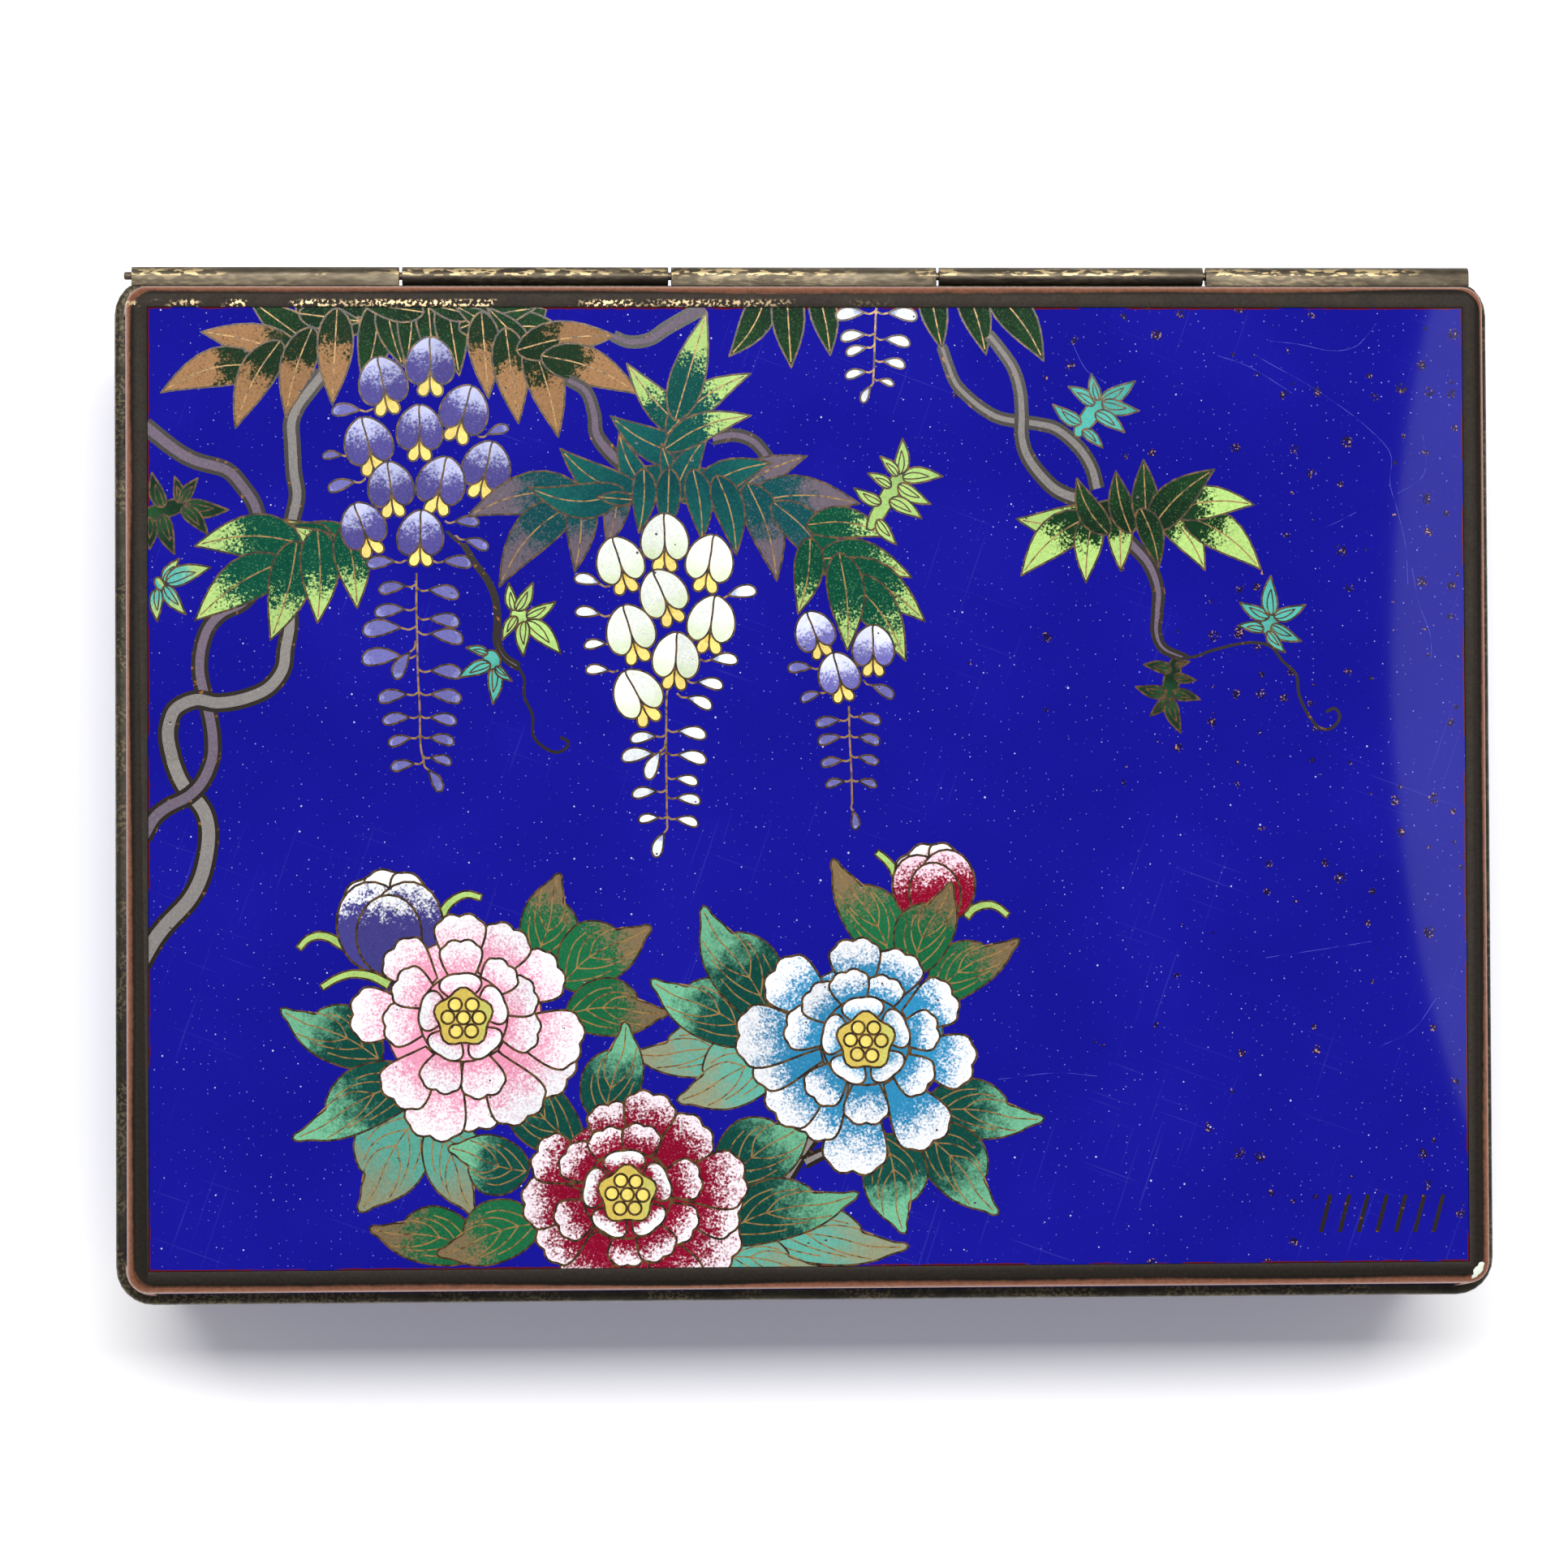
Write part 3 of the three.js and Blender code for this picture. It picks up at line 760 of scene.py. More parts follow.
# %% Sepals and the two closed peonies
SEPALS = [
    [(424, 1166), (405, 1155), (391, 1153), (378, 1158), (368, 1169)],
    [(480, 1214), (458, 1203), (434, 1200), (414, 1206), (396, 1217)],
    [(543, 1134), (548, 1120), (560, 1108), (575, 1102), (593, 1106)],
    [(1104, 1078), (1099, 1068), (1090, 1058), (1080, 1050)],
    [(1190, 1130), (1198, 1121), (1213, 1115), (1228, 1117), (1242, 1128)]]
for route in SEPALS:
    lay_sepal(route)
PURPLE_BUD_PLACE, PURPLE_BUD_RADIUS = (480, 1140), 62
CRIMSON_BUD_PLACE, CRIMSON_BUD_RADIUS, CRIMSON_BUD_LEAN = (1151, 1092), 49, 10
LEAF_OVER_BUD = [(1132, 1185, 1172, 1087, 62, 0.08)]
lay_bud_flower(*PURPLE_BUD_PLACE, PURPLE_BUD_RADIUS, 0, "bud_purple")
lay_bud_flower(*CRIMSON_BUD_PLACE, CRIMSON_BUD_RADIUS, CRIMSON_BUD_LEAN, "bud_crimson")
lay_peony_leaves(LEAF_OVER_BUD, "peony_leaf_olive")

# %% The three open peonies
PINK_OUTER = [
    (-31, 148), (-82, 136), (-57, 144), (-106, 150), (-13, 146), (-131, 131), (28, 131), (178, 135),
    (60, 124), (135, 120), (92, 124)]
PINK_MIDDLE = [(-73, 99), (-111, 94), (-13, 93), (-174, 96), (20, 92), (150, 93), (49, 84), (92, 93)]
CYAN_OUTER = [
    (-56, 148), (-96, 160), (-124, 134), (-142, 142), (-168, 141), (-13, 134), (177, 156), (28, 121),
    (142, 142), (65, 117), (97, 124)]
CYAN_MIDDLE = [(-35, 93), (-90, 100), (-133, 94), (10, 89), (168, 99), (138, 92), (69, 82), (106, 88)]
CRIMSON_OUTER = [
    (-31, 150), (-60, 140), (-90, 130), (-118, 128), (-147, 122), (-10, 138), (8, 144), (-175, 126),
    (42, 125), (154, 122), (102, 112), (75, 126)]
CRIMSON_MIDDLE = [(-29, 92), (-90, 86), (-60, 88), (-156, 92), (14, 91), (146, 91), (111, 84), (76, 86)]
CRIMSON_PLACE, PINK_PLACE, CYAN_PLACE = (773, 1472), (571, 1254), (1067, 1283)
lay_peony(*CRIMSON_PLACE, CRIMSON_OUTER, CRIMSON_MIDDLE, "petal_crimson")
lay_peony(*PINK_PLACE, PINK_OUTER, PINK_MIDDLE, "petal_pink")
lay_peony(*CYAN_PLACE, CYAN_OUTER, CYAN_MIDDLE, "petal_cyan")

# %% [markdown]
# The glass has hairline cracks and scratches, most of them at the right. They are laid like
# wires, but far thinner and in the colour of crushed glass.

# %% Hairline cracks
HAIRLINE = 0.03 * MM
CRACKS = [
    [(1545, 436), (1565, 448), (1610, 473), (1648, 498), (1682, 524), (1713, 558), (1713, 596),
     (1722, 629), (1732, 672), (1735, 720)],
    [(1753, 536), (1757, 560), (1755, 583), (1742, 597), (1722, 608)],
    [(1633, 650), (1652, 641), (1671, 631)],
    [(1564, 420), (1600, 424), (1640, 432), (1668, 428), (1684, 414), (1696, 398)],
    [(1500, 438), (1540, 452), (1592, 484)],
    [(1740, 700), (1748, 742), (1762, 780), (1764, 812)],
    [(1320, 420), (1338, 455), (1360, 470)],
    [(1560, 1180), (1620, 1171), (1690, 1160)],
    [(1700, 1290), (1742, 1268), (1770, 1230)],
    [(1230, 1330), (1300, 1322), (1352, 1326)]]
for route in CRACKS:
    lay_wire(route_line(route, 5), "hairline", HAIRLINE)

# %% [markdown]
# A row of plain slanting strokes stands in the lower right corner of the lid. They are short
# lengths of the same heavy dark wire as the vines.

# %% A row of strokes
STROKE_ROW = (1622, 1784)
STROKE_TOP = 1472
STROKE_FOOT = 1518
STROKE_COUNT = 7
STROKE_SLANT = 6
for k in range(STROKE_COUNT):
    x = STROKE_ROW[0] + (STROKE_ROW[1] - STROKE_ROW[0]) * (k + 0.5) / STROKE_COUNT
    top, foot = on_lid(x + STROKE_SLANT, STROKE_TOP), on_lid(x - STROKE_SLANT, STROKE_FOOT)
    lay_wire([top, (top + foot) / 2, foot], "wire_dark", WIRE_VINE)
print(len(picture), "cells and wires")

# %% [markdown]
# ## From cells to one flat mesh
# Real enamel is level with its wires, so the picture becomes one sheet of faces. Every wire
# has two edges, one to each side of its middle line. Blender's Delaunay triangulation takes
# all of these edges at once and returns triangles that never cross one. Then each triangle
# asks which cell or wire was laid over it last.

# %% Cut the panel along every wire
panel_low, panel_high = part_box("lid_top_enamel")
PANEL_CORNERS = [
    Vector((panel_low[0], panel_low[1])), Vector((panel_high[0], panel_low[1])),
    Vector((panel_high[0], panel_high[1])), Vector((panel_low[0], panel_high[1]))]
MERGE = 2e-6
TINY = 1e-9
NO_SPEED = 1e-12
NOT_ZERO = 1e-18


def beside(line, closed, offset):
    """The line moved to its left by offset, or to its right where offset is below 0."""
    last = len(line) - 1
    moved = []
    for k, point in enumerate(line):
        before = line[k - 1] if k > 0 or closed else point
        after = line[(k + 1) % (last + 1)] if k < last or closed else point
        way = after - before
        if way.length < TINY:
            way = Vector((1, 0))
        moved.append(point + side_of(way.normalized()) * offset)
    return moved


started = time.time()
points, edges = [], []


def add_line(line, closed):
    first = len(points)
    points.extend(line)
    edges.extend((first + k, first + k + 1) for k in range(len(line) - 1))
    if closed:
        edges.append((first + len(line) - 1, first))


def clipped(line, closed):
    """The stretches of a line that lie on the panel, cut at its border."""
    whole = line + [line[0]] if closed else line
    stretches, current = [], []
    for start, end in zip(whole, whole[1:]):
        hit = clip_segment(start, end)
        if hit is None:
            if current:
                stretches.append(current)
            current = []
            continue
        if not current:
            current = [hit[0]]
        current.append(hit[1])
        if (hit[1] - end).length > TINY:
            stretches.append(current)
            current = []
    if current:
        stretches.append(current)
    return stretches


def clip_segment(start, end):
    """The part of a segment on the panel (Liang and Barsky's way), or None."""
    way = end - start
    enter, leave = 0.0, 1.0
    for axis in (0, 1):
        for bound, sign in ((panel_low[axis], -1), (panel_high[axis], 1)):
            speed = sign * way[axis]
            room = sign * (bound - start[axis])
            if abs(speed) < NO_SPEED:
                if room < 0:
                    return None
            elif speed > 0:
                leave = min(leave, room / speed)
            else:
                enter = max(enter, room / speed)
    if enter >= leave:
        return None
    return start + way * enter, start + way * leave


add_line(PANEL_CORNERS, True)
for cell in picture:
    for offset in (cell["width"] / 2, -cell["width"] / 2):
        for stretch in clipped(beside(cell["line"], cell["closed"], offset), cell["closed"]):
            add_line(stretch, False)
flat_points, _, flat_faces, *_ = geometry.delaunay_2d_cdt(points, edges, [], 0, MERGE, False)
print(len(flat_points), "points and", len(flat_faces), "faces in", round(time.time() - started, 1), "s")

# %% Ask each triangle what was laid over it last
corners = numpy.array([[flat_points[i] for i in face] for face in flat_faces])
middles = corners.mean(axis=1)
top_layer = numpy.full(len(flat_faces), -1)
is_wire = numpy.zeros(len(flat_faces), bool)


def distance_to_line(spots, line, closed):
    """Each spot's distance to a line, and whether a closed line goes round it."""
    ends = numpy.array(line)
    starts, stops = (ends, numpy.roll(ends, -1, 0)) if closed else (ends[:-1], ends[1:])
    way = stops - starts
    from_start = spots[:, None, :] - starts[None]
    share = (from_start * way).sum(2) / numpy.maximum((way**2).sum(1), NOT_ZERO)
    nearest = from_start - numpy.clip(share, 0, 1)[..., None] * way
    distance = numpy.sqrt((nearest**2).sum(2)).min(1)
    above = (starts[None, :, 1] > spots[:, None, 1]) != (stops[None, :, 1] > spots[:, None, 1])
    rise = numpy.where(way[:, 1] == 0, NOT_ZERO, way[:, 1])
    cross = starts[None, :, 0] + (spots[:, None, 1] - starts[None, :, 1]) / rise * way[:, 0]
    inside = (above & (spots[:, None, 0] < cross)).sum(1) % 2 == 1
    return distance, inside & closed


for layer, cell in enumerate(picture):
    line = numpy.array(cell["line"])
    reach = cell["width"]
    near = numpy.flatnonzero(((middles > line.min(0) - reach) & (middles < line.max(0) + reach)).all(1))
    if len(near) == 0:
        continue
    distance, inside = distance_to_line(middles[near], cell["line"], cell["closed"])
    on_wire = distance < cell["width"] / 2
    covered = on_wire | inside
    top_layer[near[covered]] = layer
    is_wire[near[covered]] = on_wire[covered]
print("layers read after", round(time.time() - started, 1), "s")
print("faces of wire:", int(is_wire.sum()), "and of bare ground:", int((top_layer < 0).sum()))

# %% [markdown]
# ## Nodes
# The next cells set up helpers for shader nodes. An effect that several materials share is a
# node group with named sockets, so it is built once and used with other values each time.

# %% A helper for colours
def linear(color, tone=1.0):
    """A colour from 0 to 255, as seen on a screen, turned into the light values shaders use."""
    def channel(value):
        value = value * tone / 255
        return value / 12.92 if value <= 0.04045 else ((value + 0.055) / 1.055) ** 2.4
    return (*(channel(value) for value in color), 1.0)


# %% A small hand for node trees
class Tree:
    """A small hand for building node trees: add() makes a node and fills its sockets."""

    def __init__(self, tree):
        self.tree = tree
        self.tree.nodes.clear()

    def add(self, kind, settings=None, **inputs):
        node = self.tree.nodes.new(kind)
        for name, value in (settings or {}).items():
            setattr(node, name, value)
        self.fill(node, **inputs)
        return node

    def fill(self, node, **inputs):
        for name, value in inputs.items():
            self.put(node, name.replace("_", " "), value)

    def put(self, node, name, value):
        """The socket is given by its name, or by its number where several share a name."""
        socket = node.inputs[name]
        if isinstance(value, bpy.types.NodeSocket):
            self.tree.links.new(value, socket)
        else:
            socket.default_value = value

    def maths(self, operation, *values):
        node = self.add("ShaderNodeMath", {"operation": operation})
        for k, value in enumerate(values):
            self.put(node, k, value)
        return node.outputs[0]

    def plus(self, first, second):
        return self.maths("ADD", first, second)

    def minus(self, first, second):
        return self.maths("SUBTRACT", first, second)

    def times(self, first, second):
        return self.maths("MULTIPLY", first, second)

    def centred(self, noise, size):
        """A noise from 0 to 1, moved to lie about 0 and multiplied."""
        return self.times(self.minus(noise, 0.5), size)

    def blend(self, share, first, second, kind="MIX"):
        """A mix of two colours; the numbers are the sockets that the node has for colours."""
        node = self.add("ShaderNodeMix", {"data_type": "RGBA", "blend_type": kind})
        for k, value in ((0, share), (6, first), (7, second)):
            self.put(node, k, value)
        return node.outputs[2]

    def step(self, value, low, high, start=0.0, end=1.0):
        """A smooth change from start to end while the value goes from low to high."""
        node = self.add("ShaderNodeMapRange", {"interpolation_type": "SMOOTHSTEP"})
        for k, given in enumerate((value, low, high, start, end)):
            self.put(node, k, given)
        return node.outputs[0]

    def noise(self, place, scale, detail=2.0, roughness=0.5):
        """The scale is in waves per metre."""
        node = self.add(
            "ShaderNodeTexNoise", Vector=place, Scale=scale, Detail=detail, Roughness=roughness)
        return node.outputs["Fac"]

    def place(self):
        """The place in the piece's own frame, in metres."""
        return self.add("ShaderNodeTexCoord").outputs["Object"]

    def parts(self, vector):
        return self.add("ShaderNodeSeparateXYZ", Vector=vector).outputs

    def use(self, group, **inputs):
        """Runs a shared group, and gives its outputs."""
        return self.add("ShaderNodeGroup", {"node_tree": group.tree}, **inputs).outputs

    def feed(self, shader, color, roughness, height, strength, depth=0.03 * MM):
        """Connects a shader's colour and roughness, and its normal to a bump."""
        bump = self.add("ShaderNodeBump", Height=height, Strength=strength, Distance=depth)
        self.fill(shader, Base_Color=color, Roughness=roughness, Normal=bump.outputs[0])


# %% A helper for node groups
def new_group(name, inputs, outputs):
    """A node group from names and kinds of sockets: its tree, what it is given, and its end."""
    group = bpy.data.node_groups.new(name, "ShaderNodeTree")
    kinds = {"color": "NodeSocketColor", "value": "NodeSocketFloat", "vector": "NodeSocketVector"}
    for way, sockets in (("INPUT", inputs), ("OUTPUT", outputs)):
        for label, kind in sockets.items():
            group.interface.new_socket(label, in_out=way, socket_type=kinds[kind])
    tree = Tree(group)
    return tree, tree.add("NodeGroupInput").outputs, tree.add("NodeGroupOutput")


# %% [markdown]
# Dust, pinholes and pits are all spots on a hidden grid: a Voronoi texture gives each grid
# cell one point and one random colour. A spot shows only in cells whose random value is low
# enough. The grid is flat, and slanted by the height, so it also works on upright faces.

# %% The spots group
SLANT_X, SLANT_Y = 0.61, 0.83
spots, spots_in, spots_out = new_group(
    "scattered_spots", {"Scale": "value", "Size": "value", "Share": "value"},
    {"Mask": "value", "Chance": "value"})
place = spots.parts(spots.place())
flat_x = spots.maths("MULTIPLY_ADD", place["Z"], SLANT_X, place["X"])
flat_y = spots.maths("MULTIPLY_ADD", place["Z"], SLANT_Y, place["Y"])
flat = spots.add("ShaderNodeCombineXYZ", X=flat_x, Y=flat_y).outputs[0]
grid = spots.add(
    "ShaderNodeTexVoronoi", {"voronoi_dimensions": "2D"}, Vector=flat, Scale=spots_in["Scale"])
draw = spots.add("ShaderNodeSeparateColor", Color=grid.outputs["Color"]).outputs
picked = spots.maths("LESS_THAN", draw[0], spots_in["Share"])
size = spots.times(spots_in["Size"], spots.plus(draw[1], 0.3))
edge = spots.step(grid.outputs["Distance"], spots.times(size, 0.6), size, 1.0, 0.0)
spots.fill(spots_out, Mask=spots.times(picked, edge), Chance=draw[2])

# %% [markdown]
# ## Enamel
# Each cell has two colours that meet in a stippled band, because the enameller sifts grains of
# one glass over the other. The group reads the cell's own base-to-tip share from its UV map,
# roughens it with a fine and a coarse noise, and mixes. Flecks and pinholes come on top.

# %% The enamel group
PINHOLE_BROWN = (38, 30, 26)
enamel, enamel_in, enamel_out = new_group(
    "fired_enamel",
    {"Base": "color", "Tip": "color", "Change": "value", "Softness": "value", "Grain": "value",
     "Flecks": "value", "Fleck Color": "color"},
    {"Color": "color", "Roughness": "value", "Height": "value"})
place = enamel.place()
fine = enamel.noise(place, 5200, 1.0)
coarse = enamel.noise(place, 900, 2.0)
wobble = enamel.plus(enamel.centred(fine, enamel_in["Grain"]), enamel.centred(coarse, 0.5))
share = enamel.parts(enamel.add("ShaderNodeUVMap", {"uv_map": "cell"}).outputs[0])["X"]
low = enamel.minus(enamel_in["Change"], enamel_in["Softness"])
high = enamel.plus(enamel_in["Change"], enamel_in["Softness"])
along = enamel.step(enamel.plus(share, wobble), low, high)
color = enamel.blend(along, enamel_in["Base"], enamel_in["Tip"])
shade = enamel.add("ShaderNodeAttribute", {"attribute_name": "shade"}).outputs["Fac"]
tone = enamel.plus(enamel.maths("MULTIPLY_ADD", shade, 0.22, 0.86), enamel.centred(fine, 0.5))
color = enamel.blend(1.0, color, tone, "MULTIPLY")
fleck = enamel.step(enamel.noise(place, 7500, 0.0), 0.64, 0.74)
color = enamel.blend(enamel.times(fleck, enamel_in["Flecks"]), color, enamel_in["Fleck Color"])
pinhole = enamel.use(spots, Scale=620.0, Size=0.075, Share=0.12)["Mask"]
color = enamel.blend(pinhole, color, linear(PINHOLE_BROWN))
rough = enamel.maths("MULTIPLY_ADD", pinhole, 0.5, 0.06)
enamel.fill(enamel_out, Color=color, Roughness=rough, Height=enamel.times(pinhole, -1.0))


# %% Materials made with the enamel group
def finished(name, tree_maker):
    """A material whose Principled shader is fed by tree_maker(tree, shader)."""
    material = bpy.data.materials.new(name)
    material.use_nodes = True
    tree = Tree(material.node_tree)
    shader = tree.add("ShaderNodeBsdfPrincipled")
    output = tree.add("ShaderNodeOutputMaterial", Surface=shader.outputs[0])
    output.is_active_output = True
    tree_maker(tree, shader)
    return material


GLASS_IOR = 1.5


def two_tone(name, base, tip, change, softness, grain, flecks=0.0, fleck_color=(255, 255, 255)):
    def fill(tree, shader):
        glass = tree.use(
            enamel, Base=linear(base), Tip=linear(tip), Change=change, Softness=softness, Grain=grain,
            Flecks=flecks, Fleck_Color=linear(fleck_color))
        tree.feed(shader, glass["Color"], glass["Roughness"], glass["Height"], 0.4)
        shader.inputs["IOR"].default_value = GLASS_IOR
    return finished(name, fill)


# %% The enamels, one by one
DARK_GREEN = (18, 44, 24)
TAN, LIME, MAUVE = (144, 108, 74), (158, 186, 110), (94, 84, 94)
MINT, KHAKI, BROWN, WHITE = (100, 162, 128), (126, 130, 104), (112, 94, 68), (216, 217, 220)
ENAMELS = {
    # base, tip, where on the way they change, softness, grain, share of flecks, colour of the flecks
    "leaf_dark": ((18, 40, 24), (24, 54, 30), 0.5, 0.3, 0.6, 0.45, (72, 104, 62)),
    "leaf_tan": ((20, 44, 26), TAN, 0.42, 0.07, 0.4, 0.6, (84, 66, 38)),
    "leaf_green": ((11, 68, 50), (14, 76, 55), 0.5, 0.3, 0.6, 0.3, (56, 122, 84)),
    "leaf_lime": ((10, 66, 50), LIME, 0.62, 0.1, 0.8, 0.35, (84, 142, 94)),
    "leaf_green_lime": ((10, 66, 48), LIME, 0.7, 0.12, 0.9, 0.4, (84, 142, 92)),
    "leaf_dark_lime": ((18, 48, 26), (160, 192, 110), 0.42, 0.08, 0.6, 0.25, DARK_GREEN),
    "leaf_teal": ((12, 62, 66), (20, 80, 76), 0.5, 0.4, 0.5, 0.25, (50, 104, 96)),
    "leaf_teal_lime": ((13, 68, 64), LIME, 0.58, 0.08, 0.6, 0.3, (70, 124, 96)),
    "leaf_mauve": ((13, 66, 70), MAUVE, 0.52, 0.14, 0.4, 0.3, (124, 112, 122)),
    "sprig_lime": ((158, 192, 112), (142, 176, 104), 0.8, 0.2, 0.2, 0.3, (92, 116, 62)),
    "sprig_pale": ((84, 166, 156), LIME, 0.5, 0.25, 0.4, 0.15, (50, 96, 150)),
    "sprig_turquoise": ((76, 160, 148), (68, 146, 132), 0.8, 0.2, 0.1, 0.1, (50, 120, 110)),
    "sprig_dark": ((30, 66, 38), (20, 42, 28), 0.4, 0.3, 0.3, 0.2, (56, 84, 48)),
    "peony_leaf_olive": ((22, 92, 56), BROWN, 0.62, 0.16, 0.7, 0.25, (80, 112, 76)),
    "peony_leaf_mint": ((12, 62, 54), MINT, 0.6, 0.2, 0.3, 0.25, (46, 104, 88)),
    "peony_leaf_sage": ((82, 150, 134), KHAKI, 0.6, 0.24, 0.12, 0.1, (116, 168, 150)),
    "petal_pink": ((214, 138, 164), WHITE, 0.6, 0.36, 1.3, 0.2, (204, 96, 128)),
    "petal_pink_cup": ((212, 140, 166), WHITE, 0.5, 0.3, 1.0),
    "petal_cyan": ((42, 122, 162), WHITE, 0.66, 0.22, 0.9, 0.25, (22, 92, 144)),
    "petal_cyan_cup": ((66, 142, 178), WHITE, 0.52, 0.24, 0.8),
    "petal_crimson": ((122, 6, 36), (228, 214, 220), 0.74, 0.2, 1.1, 0.2, (196, 104, 136)),
    "petal_crimson_cup": ((128, 12, 42), WHITE, 0.6, 0.2, 0.9),
    "bud_purple": ((58, 54, 116), WHITE, 0.84, 0.13, 0.6),
    "bud_purple_rim": (WHITE, WHITE, 0.5, 0.3, 0.1),
    "bud_crimson": ((122, 6, 34), (228, 196, 208), 0.8, 0.16, 0.9, 0.2, (206, 130, 158)),
    "bud_crimson_rim": ((170, 50, 80), WHITE, 0.62, 0.3, 0.5),
    "blossom_lilac": ((178, 182, 214), (72, 66, 126), 0.36, 0.26, 0.9, 0.14, (140, 140, 188)),
    "blossom_pale": ((204, 208, 230), (98, 94, 158), 0.52, 0.24, 0.9, 0.15, (190, 192, 222)),
    "blossom_white": ((214, 218, 212), (194, 206, 172), 0.72, 0.3, 0.5, 0.25, (166, 178, 126)),
    "bud_lilac": ((98, 96, 154), (126, 130, 184), 0.84, 0.12, 0.4, 0.12, (150, 154, 196)),
    "bud_white": ((150, 166, 198), (212, 216, 220), 0.24, 0.1, 0.2, 0.08, (150, 160, 150)),
    "keel_yellow": ((196, 166, 72), (220, 198, 112), 0.3, 0.2, 0.3),
    "heart_yellow": ((186, 164, 78), (176, 176, 92), 0.5, 0.4, 0.6, 0.1, (190, 120, 50)),
    "stamen_yellow": ((212, 194, 100), (200, 180, 86), 0.5, 0.4, 0.3, 0.12, (186, 120, 50)),
    "sepal_lime": ((146, 176, 96), (154, 184, 104), 0.5, 0.3, 0.3, 0.3, (96, 124, 62)),
    "vine_grey": ((126, 122, 118), (118, 114, 112), 0.5, 0.4, 0.3, 0.4, (146, 144, 142)),
    "vine_mauve": ((104, 92, 106), (98, 88, 102), 0.5, 0.4, 0.3, 0.3, (132, 122, 132)),
}
finishes = {name: two_tone(name, *recipe) for name, recipe in ENAMELS.items()}
print(len(finishes), "enamels")

# %% [markdown]
# The blue ground is the same glass everywhere, on the lid, the sides and the underside. It has
# fine pale dust, fewer dark pits with crumbs in them, and faint scratches. Where it meets the
# copper, the photograph shows a dark red line, so the lid's panel has one.

# %% The blue ground
BLUE_DEEP, BLUE_LIGHT = (15, 14, 124), (19, 18, 133)
DUST_FAINT, DUST_BRIGHT = (150, 156, 222), (206, 210, 236)
PIT_DARK, PIT_CRUMBS = (20, 12, 34), (164, 122, 118)
SCRATCH_PALE = (120, 125, 210)
HAIRLINE_DEEP, HAIRLINE_PALE = (26, 26, 140), (84, 88, 180)
BORDER_RED = (84, 18, 26)
BORDER_WIDTH = 0.24 * MM


def ground_fill(with_border, tone=1.0, gloss=0.03, waviness=0.2):
    def fill(tree, shader):
        place = tree.place()
        cloud = tree.noise(place, 60, 3.0)
        color = tree.blend(tree.step(cloud, 0.3, 0.7), linear(BLUE_DEEP, tone), linear(BLUE_LIGHT, tone))
        dust = tree.use(spots, Scale=1500.0, Size=0.085, Share=0.5)
        faint = tree.times(dust["Mask"], tree.maths("POWER", dust["Chance"], 2.2))
        color = tree.blend(tree.times(faint, 0.9), color, linear(DUST_FAINT))
        bright = tree.use(spots, Scale=420.0, Size=0.035, Share=0.25)["Mask"]
        color = tree.blend(tree.times(bright, 0.7), color, linear(DUST_BRIGHT))
        hole = pits(tree, place)
        color = tree.blend(tree.times(hole, 0.85), color, linear(PIT_DARK))
        crumbs = tree.times(hole, tree.step(tree.noise(place, 6500, 0.0), 0.62, 0.7))
        color = tree.blend(crumbs, color, linear(PIT_CRUMBS))
        rubbed = tree.plus(scratches(tree, place, 0.35), scratches(tree, place, 1.9))
        rubbed = tree.times(rubbed, tree.step(cloud, 0.46, 0.62))
        color = tree.blend(tree.times(rubbed, 0.07), color, linear(SCRATCH_PALE))
        if with_border:
            color = tree.blend(border_line(tree, place), color, linear(BORDER_RED))
        rough = tree.maths("MULTIPLY_ADD", hole, 0.04, gloss)
        height = tree.times(tree.noise(place, 45, 1.0), waviness)
        tree.feed(shader, color, rough, height, 0.25, 0.04 * MM)
        shader.inputs["IOR"].default_value = GLASS_IOR
    return fill


# %% Pits, scratches and the border line
def pits(tree, place):
    """Ragged pits in patches, most of them at the right and some more towards the back."""
    part = tree.parts(place)
    zone = tree.plus(tree.step(part["X"], -10 * MM, 45 * MM, 0.0, 0.6), 0.15)
    zone = tree.plus(zone, tree.step(part["Y"], -20 * MM, 30 * MM, 0.0, 0.2))
    zone = tree.maths("GREATER_THAN", zone, tree.times(tree.noise(place, 130, 1.0), 1.5))
    pit = tree.use(spots, Scale=420.0, Size=0.2, Share=0.5)["Mask"]
    return tree.times(tree.times(pit, zone), tree.step(tree.noise(place, 2600, 1.0), 0.36, 0.5))


def scratches(tree, place, angle):
    """Thin, faint, nearly straight lines that all run one way."""
    turned = tree.add("ShaderNodeMapping", Vector=place, Rotation=(0, 0, angle)).outputs[0]
    drawn_out = tree.add("ShaderNodeMapping", Vector=turned, Scale=(70, 4200, 70)).outputs[0]
    return tree.step(tree.noise(drawn_out, 1.0, 1.0), 0.68, 0.76)


def border_line(tree, place):
    """A ragged line, about half of BORDER_WIDTH wide, along the panel's border."""
    part = tree.parts(place)
    near_x = tree.minus(panel_high[0], tree.maths("ABSOLUTE", part["X"]))
    near_y = tree.minus(panel_high[1], tree.maths("ABSOLUTE", part["Y"]))
    ragged = tree.times(tree.noise(place, 900, 2.0), BORDER_WIDTH)
    line = tree.maths("LESS_THAN", tree.maths("MINIMUM", near_x, near_y), ragged)
    return tree.times(line, tree.step(tree.noise(place, 160, 2.0), 0.42, 0.5))


def hairline_fill(tree, shader):
    broken = tree.step(tree.noise(tree.place(), 700, 2.0), 0.4, 0.6)
    tree.put(shader, "Base Color", tree.blend(broken, linear(HAIRLINE_DEEP), linear(HAIRLINE_PALE)))
    shader.inputs["Roughness"].default_value = 0.1


